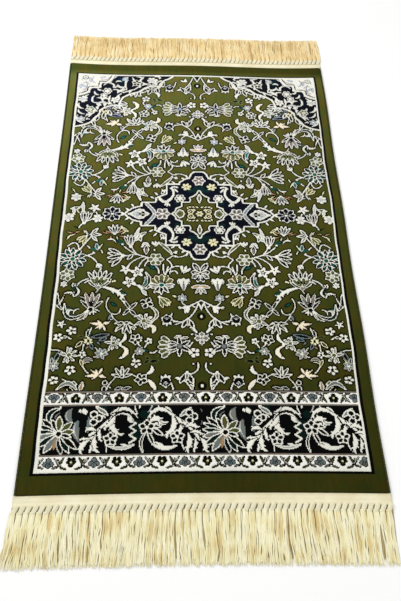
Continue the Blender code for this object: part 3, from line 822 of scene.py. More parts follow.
def paintBorder(chart):
    chart["yarn"][:] = yarnCode["ink"]
    for x, y, radius, yarn in borderGrounds:
        disc(chart, x, y, radius, yarn)
    zigzag = np.array([(-129 + (6 if i % 2 else -6), -446 - 8 * i) for i in range(7)], float)
    area(chart, np.vstack([zigzag, [(-106, -480), (-108, -450)]]), "pine")
    ribbon(chart, zigzag, 3.4, "cream")
    for row in borderFronds:
        ribbon(chart, arc(row[:2], row[2:4], row[4]), *row[5:], 1.8, 0.5)
    for x0, y0, x1, y1, bend, width, belly in borderScrolls:
        for shift in (0, borderRepeat) if x0 < -200 else (0, -borderRepeat):
            path = arc((x0 + shift, y0), (x1 + shift, y1), bend)
            drawn, rim = (width * 0.70, "ink") if belly else (width * 0.8, None)
            ribbon(chart, path, drawn, "cream", rim, 1.7, belly)
            if width > 7:  # the leaf's cut edge
                long, wide = width * 0.80, width * 0.30
                teeth = [(0.22 + 0.15 * i, 1 if i % 2 else -1, long, wide, 42) for i in range(5)]
                sprout(chart, path, teeth, "cream")
    for row in borderLeaves:
        leaf(chart, *row, rimWidth=2.2)
    for turn, length, width, yarn, rim in borderStar:
        leaf(chart, -266, -473, turn, length, width, yarn, rim, 2.0, belly=0.62)
    for x, y in ((-199, -443), (-19, -441)):
        for dx, dy in ((5, 0), (-4, -8), (-4, 8)):
            disc(chart, x + dx, y + dy, 5.2, "ink", "cream", 2.6)
        disc(chart, x - 1, y, 2.6, "ink", "cream", 1.6)
    for x, y, size in ((-170, -486, 24), (-46, -483, 24), (-103, -463, 27)):
        flower(chart, "ringFlower", x, y, 90, size)
    disc(chart, -266, -474, 4.6, "ink", "cream", 2.6)


medallionAt = 66  # how far the medallion's middle lies from the rug's
frameLine = {"x": 303, "far": 547, "near": -548, "width": 4.2, "inkWidth": 4.7}


def isAnyOf(yarn, *names):
    return np.isin(yarn, [yarnCode[name] for name in names])


def nearest(values, wanted):  # which of a chart's rows or columns lies at each wanted place
    return np.searchsorted(values, wanted).clip(0, len(values) - 1)


def outlineLights(yarn):  # a dark line round whatever is light on the olive ground
    light = isAnyOf(yarn, "cream", "straw", "peach", "mist", "slate", "tan")
    rows, cols = light.shape
    padded = np.pad(light, 2)
    near = np.zeros_like(light)
    around = [(down, over) for down in range(5) for over in range(5) if abs(down - 2) + abs(over - 2) <= 2]
    for down, over in around:
        near |= padded[down:down + rows, over:over + cols]
    yarn[near & (yarn == yarnCode["olive"])] = yarnCode["shade"]


paintedEdgeShade = {"far": -130, "near": -388, "fromMiddle": 112}


def paintShadeOnFarEdges(chart, far, near, fromMiddle):  # painted shade: toward the near end, the far edge of each light shape at the sides is charted moss, so light shapes read thinner
    rows = slice(*np.searchsorted(chart["v"], (near, far)))
    yarn = chart["yarn"][rows, np.searchsorted(chart["u"], fromMiddle):]
    light = isAnyOf(yarn, "cream", "straw", "peach", "mist")
    edge = light[1:-1] & ~light[2:] & light[:-2]
    yarn[1:-1][edge] = yarnCode["moss"]


picture = {"halfWidth": 324.9, "halfLength": 590.0, "quarter": (306, 486), "half": (-390, 550)}
stripeLines = [
    (-389.4, -387, "mauve"), (-387, -384.6, "ink"), (-418, -415, "mauve"), (-520, -517, "mauve"),
]


def wholeChart(cell):
    wide, high = picture["quarter"]
    quarter = newChart(0, wide, 0, high, cell)
    paintField(quarter)
    paintMedallion(quarter)

    half = newChart(0, wide, *picture["half"], cell)
    half["yarn"][:] = quarter["yarn"][nearest(quarter["v"], np.abs(half["v"] - medallionAt))]
    paintSides(half)
    paintCorner(half)
    outlineLights(half["yarn"])
    paintShadeOnFarEdges(half, **paintedEdgeShade)

    right, far = picture["halfWidth"], picture["halfLength"]
    full = newChart(-right, right, -far, far, cell)
    ys, xs = full["v"], full["u"]
    full["yarn"][:] = half["yarn"][nearest(half["v"], ys)][:, nearest(half["u"], np.abs(xs))]

    strip = newChart(-borderRepeat - 2, 2, border["near"], border["far"], cell)
    paintBorder(strip)
    band = (ys > border["near"]) & (ys < border["far"])
    cols = nearest(strip["u"], (xs + borderRepeat) % borderRepeat - borderRepeat)
    full["yarn"][band] = strip["yarn"][nearest(strip["v"], ys[band])][:, cols]
    for row in guards.values():
        paintGuard(full, **row)
    for near, far, yarn in stripeLines:
        full["yarn"][(ys >= near) & (ys < far)] = yarnCode[yarn]

    x, near, far = frameLine["x"], frameLine["near"], frameLine["far"]
    apart = np.maximum(np.abs(xs)[None, :] - x, np.maximum(near - ys, ys - far)[:, None])
    edge, ink = frameLine["width"] / 2, frameLine["inkWidth"]
    full["yarn"][apart > -edge] = yarnCode["cream"]
    full["yarn"][apart > edge] = yarnCode["ink"]
    full["yarn"][apart > edge + ink] = yarnCode["olive"]
    return full


# finishes: shader groups and materials, with the pile's painted light, sheen and shade and the fringe's
# painted shade
def groupTree(name, kind, inputs, outputs):
    group = bpy.data.node_groups.new(name, kind)
    for label, socketType, default in inputs:
        socket = group.interface.new_socket(label, in_out="INPUT", socket_type=socketType)
        if default is not None:
            socket.default_value = default
    for label, socketType in outputs:
        group.interface.new_socket(label, in_out="OUTPUT", socket_type=socketType)
    start = group.nodes.new("NodeGroupInput")
    end = group.nodes.new("NodeGroupOutput")
    return group, {s.name: s for s in start.outputs if s.name}, end


def makeFibreGroup():  # streaky fibre grain: a light and dark tone round 1, and a height for bump
    group, given, end = groupTree(
        "fibreGrain", "ShaderNodeTree",
        [("Coordinate", "NodeSocketVector", None), ("Across", "NodeSocketFloat", 500.0),
         ("Along", "NodeSocketFloat", 120.0), ("Depth", "NodeSocketFloat", 0.3),
         ("Patches", "NodeSocketFloat", 9.0), ("Patch Depth", "NodeSocketFloat", 0.1)],
        [("Tone", "NodeSocketFloat"), ("Height", "NodeSocketFloat")])
    scale = add(group, "ShaderNodeCombineXYZ",
                {"X": given["Across"], "Y": given["Along"], "Z": given["Across"]})
    stretched = add(group, "ShaderNodeVectorMath", {0: given["Coordinate"], 1: scale.outputs[0]},
                    operation="MULTIPLY")
    grain = noise(group, stretched.outputs[0], 1.0, 3.0, 0.6)
    patches = noise(group, given["Coordinate"], given["Patches"], 2.0)
    fine = product(group, calc(group, "SUBTRACT", grain, 0.5), given["Depth"], 2.0)
    broad = product(group, calc(group, "SUBTRACT", patches, 0.5), given["Patch Depth"], 2.0)
    group.links.new(total(group, 1.0, fine, broad), end.inputs["Tone"])
    group.links.new(grain, end.inputs["Height"])
    return group


fibreGrain = makeFibreGroup()


def grained(tree, colour, coordinate, across, along, depth, patches, patchDepth):
    grain = add(tree, "ShaderNodeGroup", node_tree=fibreGrain)
    tree.links.new(coordinate, grain.inputs["Coordinate"])
    values = {"Across": across, "Along": along, "Depth": depth, "Patches": patches,
              "Patch Depth": patchDepth}
    for label, value in values.items():
        grain.inputs[label].default_value = value
    toned = blended(tree, 1.0, colour, grain.outputs["Tone"], "MULTIPLY")
    return toned, grain.outputs["Height"]


# colours: where each stands, from 0 to 1, and its daylight colour
def ramped(tree, factor, colours, interpolation="LINEAR"):
    node = add(tree, "ShaderNodeValToRGB", {0: factor})
    node.color_ramp.interpolation = interpolation
    stops = node.color_ramp.elements
    while len(stops) < len(colours):
        stops.new(0.99)
    for i, (at, colour) in enumerate(colours):
        stops[i].position = at
        stops[i].color = linear(colour)
    return node.outputs[0]


def bumped(tree, shader, height, strength, distance):
    bump = add(tree, "ShaderNodeBump", {"Height": height, "Strength": strength, "Distance": distance})
    tree.links.new(bump.outputs[0], shader.inputs["Normal"])


pileGrainAndPaintedLight = {
    # painted light and sheen: how much lighter the dark yarns are painted far off and to the left
    "lean": 1.42, "paintedLeftLight": 0.60, "paintedFarEdgeShade": 0.37,
    "paintedFarShadeSpan": (0.540, 0.568),  # painted shade: where the far end is painted darker
    "paintedSheenBlue": 1.35,  # painted sheen: the blue part rises faster, so the far end is painted greyer
    "tufts": (900.0, 420.0, 0.26, 9.0, 0.24),  # grain: across, along, depth, patches, their depth
    "combing": (120.0, 18.0, 0.26, 9.0, 0.0),  # comb marks, which show on the dark yarns
    "hueScale": 36.0, "hueDepth": 1.0,  # olive that turns browner and greener in patches
}


def makePileMaterial():
    material, tree, shader = newMaterial("woolPile", 0.95, 0.0)
    shader.inputs["Specular IOR Level"].default_value = 0.04
    yarn = add(tree, "ShaderNodeAttribute", attribute_name="yarn").outputs["Fac"]
    steps = [(i / len(yarns), colour) for i, colour in enumerate(yarns.values())]
    colour = ramped(tree, calc(tree, "DIVIDE", total(tree, yarn, 0.5), len(yarns)), steps, "CONSTANT")
    spot = add(tree, "ShaderNodeTexCoord").outputs["Object"]
    toned, height = grained(tree, colour, spot, *pileGrainAndPaintedLight["tufts"])
    combed = grained(tree, toned, spot, *pileGrainAndPaintedLight["combing"])[0]
    # painted light and sheen: the dark yarns are painted lighter and greyer towards the far end and lighter
    # towards the left
    parts = add(tree, "ShaderNodeSeparateXYZ", {0: spot}).outputs
    along = parts["Y"]
    paintedSideGain = product(tree, parts["X"], -pileGrainAndPaintedLight["paintedLeftLight"], calc(tree, "EXPONENT", along))
    lean = calc(tree, "EXPONENT", total(tree, product(tree, along, pileGrainAndPaintedLight["lean"]), paintedSideGain))
    # painted shade: the dark yarns are painted darker again over the last few cm of the far end
    farShadeStart, farShadeEnd = pileGrainAndPaintedLight["paintedFarShadeSpan"]
    edge = add(tree, "ShaderNodeMapRange", {"Value": along, "From Min": farShadeStart, "From Max": farShadeEnd,
                                            "To Min": 1.0, "To Max": pileGrainAndPaintedLight["paintedFarEdgeShade"]}).outputs[0]
    bright = add(tree, "ShaderNodeRGBToBW", {0: colour}).outputs[0]
    share = calc(tree, "POWER", calc(tree, "SUBTRACT", 1.0, bright), 2.0)
    paintedLightGain = calc(tree, "POWER", product(tree, lean, edge), share)
    paintedBlueGain = calc(tree, "POWER", paintedLightGain, pileGrainAndPaintedLight["paintedSheenBlue"])
    paintedLightGain = coloured(tree, paintedLightGain, paintedLightGain, paintedBlueGain)
    dark = blended(tree, share, toned, combed)
    hue = noise(tree, spot, pileGrainAndPaintedLight["hueScale"], 3.0)
    warm = product(tree, calc(tree, "SUBTRACT", hue, 0.5), pileGrainAndPaintedLight["hueDepth"], share)
    greener, bluer = product(tree, warm, -0.2), product(tree, warm, -0.8)
    tint = coloured(tree, total(tree, 1.0, warm), total(tree, 1.0, greener), total(tree, 1.0, bluer))
    dark = blended(tree, 1.0, dark, tint, "MULTIPLY")
    tree.links.new(blended(tree, 1.0, dark, paintedLightGain, "MULTIPLY"), shader.inputs["Base Color"])
    bumped(tree, shader, height, 0.5, 0.0008)
    return material


yarnFinish = {"mottle": 24.0, "grain": (0.10, 30.0, 0.06), "bump": 0.4, "bumpHeight": 0.0005}


def makeYarnMaterial(name, colours, roughness, sheen, across, along, toneAttribute=None, toneShare=1.0):
    material, tree, shader = newMaterial(name, roughness, sheen)
    spot = add(tree, "ShaderNodeTexCoord").outputs["Object"]
    pick = noise(tree, spot, yarnFinish["mottle"], 2.0)
    if toneAttribute:
        own = add(tree, "ShaderNodeAttribute", attribute_name=toneAttribute).outputs["Fac"]
        pick = total(tree, product(tree, own, toneShare), product(tree, pick, 1 - toneShare))
    toned, height = grained(tree, ramped(tree, pick, colours), spot, across, along, *yarnFinish["grain"])
    tree.links.new(toned, shader.inputs["Base Color"])
    bumped(tree, shader, height, yarnFinish["bump"], yarnFinish["bumpHeight"])
    return material


# colours each yarn varies between, from the darkest: where in the noise, and the daylight colour
shades = {
    "near": [(0.29, (228, 207, 149)), (0.42, (243, 234, 185)), (0.565, (250, 245, 210)),
             (0.72, (252, 246, 218))],
    # painted shade: the same fringe yarn, painted darker and tanner for the far end
    "far": [(0.28, (220, 190, 128)), (0.45, (240, 214, 154)), (0.6, (246, 226, 174)),
            (0.8, (250, 240, 206))],
    # painted shade: darker copies of the fringe yarn for the lowest strands, between the others
    "nearLowPaintedShade": [(0.3, (158, 140, 96)), (0.7, (186, 170, 124))],
    "farLowPaintedShade": [(0.3, (196, 166, 112)), (0.7, (216, 188, 134))],
    "knots": [(0.0, (232, 225, 192)), (1.0, (243, 238, 210))],
    "tape": [(0.3, (230, 220, 182)), (0.7, (242, 235, 204))],
    "stitch": [(0.3, (226, 216, 180)), (0.7, (240, 232, 200))],
    "binding": [(0.0, (46, 50, 10)), (0.5, (70, 73, 20)), (1.0, (98, 101, 38))],
    "ground": [(0.3, (150, 138, 108)), (0.7, (176, 164, 132))],
}
materials = {  # name, colours, roughness, sheen, grain across and along
    "pile": makePileMaterial(),
    "strands": makeYarnMaterial("fringeYarn", shades["near"], 0.7, 0.25, 900.0, 60.0, "tone", 0.3),
    "shadedFarStrands": makeYarnMaterial("farFringeYarnPaintedShade", shades["far"], 0.7, 0.25, 900.0, 60.0, "tone", 0.3),
    "under": makeYarnMaterial("fringeLowPaintedShade", shades["nearLowPaintedShade"], 0.9, 0.0, 900.0, 60.0, "tone", 0.5),
    "shadedFarUnder": makeYarnMaterial("farFringeLowPaintedShade", shades["farLowPaintedShade"], 0.9, 0.0, 900.0, 60.0, "tone", 0.5),
    "knots": makeYarnMaterial("fringeKnots", shades["knots"], 0.75, 0.2, 900.0, 90.0, "tone"),
    "tape": makeYarnMaterial("headingTape", shades["tape"], 0.85, 0.2, 380.0, 700.0),
    "stitch": makeYarnMaterial("tapeStitches", shades["stitch"], 0.8, 0.1, 900.0, 900.0),
    "binding": makeYarnMaterial("overcasting", shades["binding"], 0.8, 0.1, 900.0, 300.0, "tone"),
    "ground": makeYarnMaterial("groundWeave", shades["ground"], 0.95, 0.0, 420.0, 900.0),
}
print("finishes made:", len(materials))

# the pile: one tuft a cell, in four widths side by side
pile = {
    "cell": 1.64, "top": 0.0068, "foot": 0.0008, "widths": 4,  # cell in mm, heights in m
    "groove": 0.00042, "lift": 0.00018, "stray": 0.00009, "jog": 0.00022, "rim": 0.0013, "seed": 7,
    # how far the picture leans in at the near end and everywhere, from where on, and how far out
    "draw": 0.0052, "drawAlways": 0.0008, "drawFrom": 0.06, "drawOver": 0.60, "straightTo": 0.300,
    "wavers": ((0.0007, 31, 1), (0.0004, 77, 2)),
}


def gridFaces(rows, cols):  # a grid's faces, and its rim from the first corner on, by point number
    index = np.arange((rows + 1) * (cols + 1)).reshape(rows + 1, cols + 1)
    quads = np.stack([index[:-1, :-1], index[:-1, 1:], index[1:, 1:], index[1:, :-1]], -1).reshape(-1, 4)
    return quads, np.concatenate([index[0, :-1], index[:-1, -1], index[-1, :0:-1], index[:0:-1, 0]])


def pileHeights(chart):
    yarn = chart["yarn"]
    padded = np.pad(yarn, 1, mode="edge")
    corners = [padded[:-1, :-1], padded[:-1, 1:], padded[1:, :-1], padded[1:, 1:]]
    changes = sum(corners[0] != c for c in corners[1:]) > 0
    light = sum(isAnyOf(c, "cream", "white", "straw", "peach", "mist", "tan") for c in corners) / 4
    chance = np.random.default_rng(pile["seed"])
    height = pile["top"] - pile["groove"] * changes + pile["lift"] * light * ~changes
    height += chance.uniform(-1, 1, height.shape) * pile["stray"]
    height[[0, -1]] = pile["top"] - pile["rim"]
    height[:, [0, -1]] = pile["top"] - pile["rim"]
    jog = chance.uniform(-1, 1, (2,) + height.shape) * changes * pile["jog"]
    return height, jog


def patternDraw(x, y):  # how far the woven picture leans in towards the near end, and its sides' waver
    near = np.clip((pile["drawFrom"] - y) / pile["drawOver"], 0, 1)
    waver = sum(reach * np.sin(y * waves + shift * np.sign(x)) for reach, waves, shift in pile["wavers"])
    straight = pile["straightTo"]
    edge = np.clip(abs(x) / straight, 0, 1) * np.clip((fieldHalf - abs(x)) / (fieldHalf - straight), 0, 1)
    return -np.sign(x) * edge * (pile["drawAlways"] + pile["draw"] * near + waver)


def makePile(chart):
    height, jog = pileHeights(chart)
    rows, cols = chart["yarn"].shape
    xs = np.linspace(-fieldHalf, fieldHalf, cols + 1)
    ys = np.linspace(-halfLength, halfLength, rows + 1)
    across = cols // pile["widths"]
    pieces = []
    for part in range(pile["widths"]):
        first = part * across
        last = cols if part == pile["widths"] - 1 else first + across
        span = slice(first, last + 1)
        jogX, jogY = jog[0][:, span].copy(), jog[1][:, span].copy()
        jogX[:, [0, -1]] = 0
        jogX[[0, -1]] = 0
        gridX, gridY = np.meshgrid(xs[span], ys)
        drawn = patternDraw(gridX, gridY)
        top = np.stack([gridX + drawn + jogX, gridY + jogY, height[:, span]], -1)
        quads, rim = gridFaces(rows, last - first)
        points = top.reshape(-1, 3)
        foot = points[rim].copy()
        foot[:, 2] = pile["foot"]
        low = len(points) + np.arange(len(rim))
        walls = np.stack([rim, low, np.roll(low, -1), np.roll(rim, -1)], -1)
        points = laidOut(np.vstack([points, foot]))
        faces = quads.tolist() + walls.tolist() + [low[::-1].tolist()]
        piece = meshObject(f"pile_{part + 1}", points, faces, materials["pile"], smooth=False)
        cells = chart["yarn"][:, first:last].reshape(-1)
        yarn = np.concatenate([cells, np.full(len(walls) + 1, yarnCode["olive"])]).astype(np.float32)
        piece.data.attributes.new("yarn", "FLOAT", "FACE").data.foreach_set("value", yarn)
        pileMap(piece.data, rows, last - first, len(walls))
        pieces.append(piece)
    return pieces


def pileMap(mesh, rows, cols, walls):  # a flat map of the tufts, for whoever paints the piece
    chunks, margin = 3, 0.004
    perChunk = rows // chunks
    row, col = np.divmod(np.arange(rows * cols), cols)
    chunk = np.minimum(row // perChunk, chunks - 1)
    tall = rows - perChunk * (chunks - 1)
    corner = np.array([(0, 0), (1, 0), (1, 1), (0, 1)], float)
    u = (col[:, None] + corner[:, 0]) / cols * (1 / chunks - margin) + chunk[:, None] / chunks + margin / 2
    v = (row[:, None] - chunk[:, None] * perChunk + corner[:, 1]) / tall * (0.98 - margin) + margin / 2
    top = np.stack([u, v], -1).reshape(-1, 2)
    i = np.arange(walls)[:, None]
    side = np.stack([(i + corner[:, 0] * 0.9) / walls * 0.8, 0.985 + corner[:, 1] * 0.01 + 0 * i],
                    -1).reshape(-1, 2)
    turn = np.linspace(0, 2 * math.pi, walls, endpoint=False)
    base = np.stack([0.9 + 0.05 * np.cos(turn), 0.99 + 0.006 * np.sin(turn)], -1)
    layer = mesh.uv_layers.new(name="OFBake", do_init=False)
    layer.uv.foreach_set("vector", np.concatenate([top, side, base]).astype(np.float32).reshape(-1))


chart = wholeChart(pile["cell"])
print("pattern charted:", chart["yarn"].shape)
pilePieces = makePile(chart)
print("pile woven:", len(pilePieces), "widths")

weave = {"inset": 0.0002, "high": 0.0012, "cols": 30, "rows": 56}


def makeGround():  # the woven ground that carries the pile
    inset, cols, rows = weave["inset"], weave["cols"], weave["rows"]
    xs = np.linspace(-fieldHalf + inset, fieldHalf - inset, cols + 1)
    ys = np.linspace(-halfLength + inset, halfLength - inset, rows + 1)
    gridX, gridY = np.meshgrid(xs, ys)
    flat = np.stack([gridX, gridY, 0 * gridX], -1).reshape(-1, 3)
    top = flat + (0, 0, weave["high"])
    quads, rim = gridFaces(rows, cols)
    after = np.roll(rim, -1)
    walls = np.stack([rim, after, after + len(flat), rim + len(flat)], -1)
    faces = quads[:, ::-1].tolist() + (quads + len(flat)).tolist() + walls.tolist()
    return meshObject("ground_weave", laidOut(np.vstack([flat, top])), faces, materials["ground"],
                      smooth=False)


ground = makeGround()


def bakedTree(name, tree, guide, values):  # runs the tree over the guide and keeps a plain mesh
    modifier = guide.modifiers.new(name, "NODES")
    modifier.node_group = tree
    for item in tree.interface.items_tree:
        if item.item_type == "SOCKET" and item.in_out == "INPUT" and item.name in values:
            modifier[item.identifier] = values[item.name]
    evaluated = guide.evaluated_get(bpy.context.evaluated_depsgraph_get())
    mesh = bpy.data.meshes.new_from_object(evaluated)
    guide.modifiers.remove(modifier)
    bpy.data.objects.remove(guide)
    mesh.name = name
    points = np.empty(len(mesh.vertices) * 3, np.float32)
    mesh.vertices.foreach_get("co", points)
    laid = laidOut(points.reshape(-1, 3).astype(float))
    mesh.vertices.foreach_set("co", laid.astype(np.float32).reshape(-1))
    mesh.update()
    obj = bpy.data.objects.new(name, mesh)
    bpy.context.scene.collection.objects.link(obj)
    return obj


def guideObject(points=()):
    mesh = bpy.data.meshes.new("guide")
    if points:
        mesh.from_pydata(points, [(i, i + 1) for i in range(len(points) - 1)], [])
    obj = bpy.data.objects.new("guide", mesh)
    bpy.context.scene.collection.objects.link(obj)
    return obj


def finished(tree, end, geometry, material):
    real = add(tree, "GeometryNodeRealizeInstances", {"Geometry": geometry}).outputs[0]
    shaded = add(tree, "GeometryNodeSetShadeSmooth", {"Geometry": real, "Shade Smooth": True}).outputs[0]
    coated = add(tree, "GeometryNodeSetMaterial", {"Geometry": shaded, "Material": material}).outputs[0]
    tree.links.new(coated, end.inputs[0])


def chanceField(tree, low, high, owner, seed):
    return add(tree, "FunctionNodeRandomValue", {"Min": low, "Max": high, "ID": owner, "Seed": seed},
               data_type="FLOAT").outputs[1]


# smooth noise down a strand: its step from strand to strand, its channel, its waves and its reach
wanders = {
    "curl": (3.7, 0.0, 2.6, 0.0074), "stray": (7.3, 20.0, 3.4, 0.0062), "loose": (5.9, 30.0, 4.0, 0.0022),
    "lift": (5.3, 40.0, 3.0, 0.0024), "low": (4.3, 60.0, 2.0, 0.0012), "girth": (9.1, 80.0, 7.0, 0.4),
}


def wandered(tree, name, along, owner):
    step, channel, waves, reach = wanders[name]
    spot = add(tree, "ShaderNodeCombineXYZ", {"X": calc(tree, "MULTIPLY", along, waves),
                                              "Y": product(tree, owner, step), "Z": channel})
    return product(tree, calc(tree, "SUBTRACT", noise(tree, spot.outputs[0], 1.0, 1.0), 0.5), reach)


fringe = {
    "knots": 58, "tapeWidth": 0.0208, "knotLength": 0.0130, "slant": 0.0034,
    "yarnsPerKnot": 20, "yarnsPerCord": 5, "yarnGap": 0.00056, "yarnRadius": 0.00060, "points": 10,
    # how fast the strands open out and how wide, how they lean, their uneven cut and how high they lie
    "opening": 2.8, "spread": (0.74, 0.30), "lean": 0.0024, "cut": (-0.0060, 0.0028), "tucked": 0.0042,
    "heights": (0.0009, 0.0048), "swayTurn": 1.9, "straightening": 0.8,
    "sweep": 0.0060,  # how far the front strands sweep out at the left corner
    # length, sway, waves, seed
    "ends": {1: ("back", 0.0880, 0.0034, 2.6, 11), -1: ("front", 0.0920, 0.0046, 3.3, 23)},
    "under": {"perKnot": 4, "radius": 0.00165, "height": 0.00085, "flat": 0.5, "tucked": 0.001,
              "shorter": 0.0080, "cut": (-0.004, 0.002)},
    "plied": {"perKnot": 7, "radius": 0.00142, "height": 0.0030, "twist": 1.9, "overlap": 0.0030},
    "stitches": {"perKnot": 4, "radius": 0.00052, "height": 0.0044, "reach": 0.0030, "arch": 0.0006},
}
knotPitch = rug["width"] / fringe["knots"]


def halfShare(tree, number, count):  # where one of a number of things lies, from -0.5 to 0.5
    return total(tree, product(tree, total(tree, number, 0.5), 1 / count), -0.5)


def wholeCount(tree, number, size):  # how many whole groups come before
    return calc(tree, "FLOOR", calc(tree, "DIVIDE", total(tree, number, 0.5), size))


def leftOver(tree, number, groups, size):
    return calc(tree, "SUBTRACT", number, calc(tree, "MULTIPLY", groups, size))


def placed(tree, given, x, y, z):  # at the end the fringe faces
    return add(tree, "ShaderNodeCombineXYZ",
               {"X": x, "Y": product(tree, y, given["Facing"]), "Z": z}).outputs[0]


def stored(tree, points, name, value):
    return add(tree, "GeometryNodeStoreNamedAttribute", {"Geometry": points, "Name": name, "Value": value},
               data_type="FLOAT", domain="POINT").outputs[0]


# tubes laid by a function
def bundleTree(name, material, perKnot, pointCount, shape, sides=4, plies=1, flat=1.0):
    tree, given, end = groupTree(
        name, "GeometryNodeTree",
        [("Facing", "NodeSocketFloat", 1.0), ("Length", "NodeSocketFloat", 0.09),
         ("Sway", "NodeSocketFloat", 0.003), ("Waves", "NodeSocketFloat", 3.0),
         ("Radius", "NodeSocketFloat", 0.001), ("Seed", "NodeSocketInt", 1)],
        [("Geometry", "NodeSocketGeometry")])
    line = add(tree, "GeometryNodeCurvePrimitiveLine", {"End": (0, 1, 0)}).outputs[0]
    line = add(tree, "GeometryNodeResampleCurve", {"Curve": line, "Count": pointCount}).outputs[0]
    points = add(tree, "GeometryNodePoints", {"Count": fringe["knots"] * perKnot}).outputs[0]
    index = add(tree, "GeometryNodeInputIndex").outputs[0]
    points = stored(tree, points, "strand", index)
    tone = chanceField(tree, 0.0, 1.0, wholeCount(tree, index, plies), given["Seed"])
    points = stored(tree, points, "tone", tone)
    many = add(tree, "GeometryNodeInstanceOnPoints", {"Points": points, "Instance": line}).outputs[0]
    many = add(tree, "GeometryNodeRealizeInstances", {"Geometry": many}).outputs[0]
    strand = add(tree, "GeometryNodeInputNamedAttribute", {"Name": "strand"}, data_type="FLOAT").outputs[0]
    along = add(tree, "GeometryNodeSplineParameter").outputs["Factor"]
    knot = wholeCount(tree, strand, perKnot)
    number = leftOver(tree, strand, knot, perKnot)
    middle = total(tree, product(tree, total(tree, knot, 0.5), knotPitch), -halfWidth)
    place, girth = shape(tree, given, {"knot": knot, "number": number, "strand": strand}, middle, along)
    moved = add(tree, "GeometryNodeSetPosition", {"Geometry": many, "Position": place}).outputs[0]
    ring = add(tree, "GeometryNodeCurvePrimitiveCircle",
               {"Resolution": sides, "Radius": given["Radius"]}).outputs[0]
    ring = add(tree, "GeometryNodeTransform", {"Geometry": ring, "Scale": (1, flat, 1)}).outputs[0]
    tubes = add(tree, "GeometryNodeCurveToMesh", {"Curve": moved, "Profile Curve": ring, "Scale": girth,
                                                  "Fill Caps": True}).outputs[0]
    finished(tree, end, tubes, material)
    return tree


def drifting(tree, given, middle, along):  # how the whole fringe sways along the rug's end
    turn = total(tree, product(tree, given["Waves"], middle, math.pi / halfWidth),
                 product(tree, along, fringe["swayTurn"]))
    sway = product(tree, given["Sway"], calc(tree, "SINE", turn), along)
    slant = product(tree, given["Facing"], fringe["slant"],
                    calc(tree, "SUBTRACT", 1.0, product(tree, along, fringe["straightening"])))
    return total(tree, sway, slant)


def strandShape(tree, given, which, middle, along):
    knot, strand = which["knot"], which["strand"]
    root = halfLength + fringe["tapeWidth"] + fringe["knotLength"]
    cords = fringe["yarnsPerKnot"] / fringe["yarnsPerCord"]
    cord = wholeCount(tree, strand, fringe["yarnsPerCord"])
    inCord = leftOver(tree, strand, cord, fringe["yarnsPerCord"])
    inCord = total(tree, inCord, -(fringe["yarnsPerCord"] - 1) / 2)
    share = halfShare(tree, leftOver(tree, cord, knot, cords), cords)
    opened = calc(tree, "MINIMUM", product(tree, along, fringe["opening"]), 1.0)
    tight, wide = fringe["spread"]
    spread = total(tree, tight, product(tree, opened, wide))
    lean = product(tree, chanceField(tree, -fringe["lean"], fringe["lean"], knot, 5), along)
    curl = product(tree, wandered(tree, "curl", along, knot), opened)
    stray = product(tree, wandered(tree, "stray", along, cord), opened)
    loose = product(tree, wandered(tree, "loose", along, strand), opened)
    front = calc(tree, "MAXIMUM", calc(tree, "SUBTRACT", 0.0, given["Facing"]), 0.0)
    swept = product(tree, front, along, total(tree, product(tree, middle, 1 / rug["width"]), -0.5),
                    fringe["sweep"])
    x = total(tree, middle, drifting(tree, given, middle, along), lean, curl,
              product(tree, share, knotPitch, spread),
              product(tree, inCord, fringe["yarnGap"]), stray, loose, swept)
    length = total(tree, given["Length"], chanceField(tree, *fringe["cut"], strand, 9))
    tucked = fringe["tucked"]
    y = total(tree, root - tucked, product(tree, length, along), product(tree, along, tucked))
    # each knot's strands crown in the middle, and each cord is round
    crown = total(tree, 0.0020, product(tree, along, -0.0014))
    crown = product(tree, calc(tree, "COSINE", product(tree, share, math.pi)), crown)
    bulge = product(tree, calc(tree, "COSINE", product(tree, inCord, 0.62)), 0.0011)
    rise = total(tree, 0.0008, crown, bulge, chanceField(tree, 0.0, 0.0011, cord, 13),
                 wandered(tree, "lift", along, cord))
    lowest, highest = fringe["heights"]
    z = calc(tree, "MINIMUM", calc(tree, "MAXIMUM", rise, lowest), highest)
    uneven = wandered(tree, "girth", along, strand)
    return placed(tree, given, x, y, z), total(tree, 1.05, product(tree, along, -0.15), uneven)


def underShape(tree, given, which, middle, along):  # the yarns lying lowest, in darker colours that stand for painted shade between the strands
    under, strand = fringe["under"], which["strand"]
    root = halfLength + fringe["tapeWidth"] - under["tucked"]
    share = halfShare(tree, which["number"], under["perKnot"])
    stray = wandered(tree, "low", along, strand)
    drift = product(tree, drifting(tree, given, middle, along), along)
    x = total(tree, middle, drift, product(tree, share, knotPitch), stray)
    length = total(tree, given["Length"], fringe["knotLength"] - under["shorter"],
                   chanceField(tree, *under["cut"], strand, 9))
    y = total(tree, root, product(tree, length, along))
    return placed(tree, given, x, y, under["height"]), total(tree, 1.0, product(tree, along, -0.06))


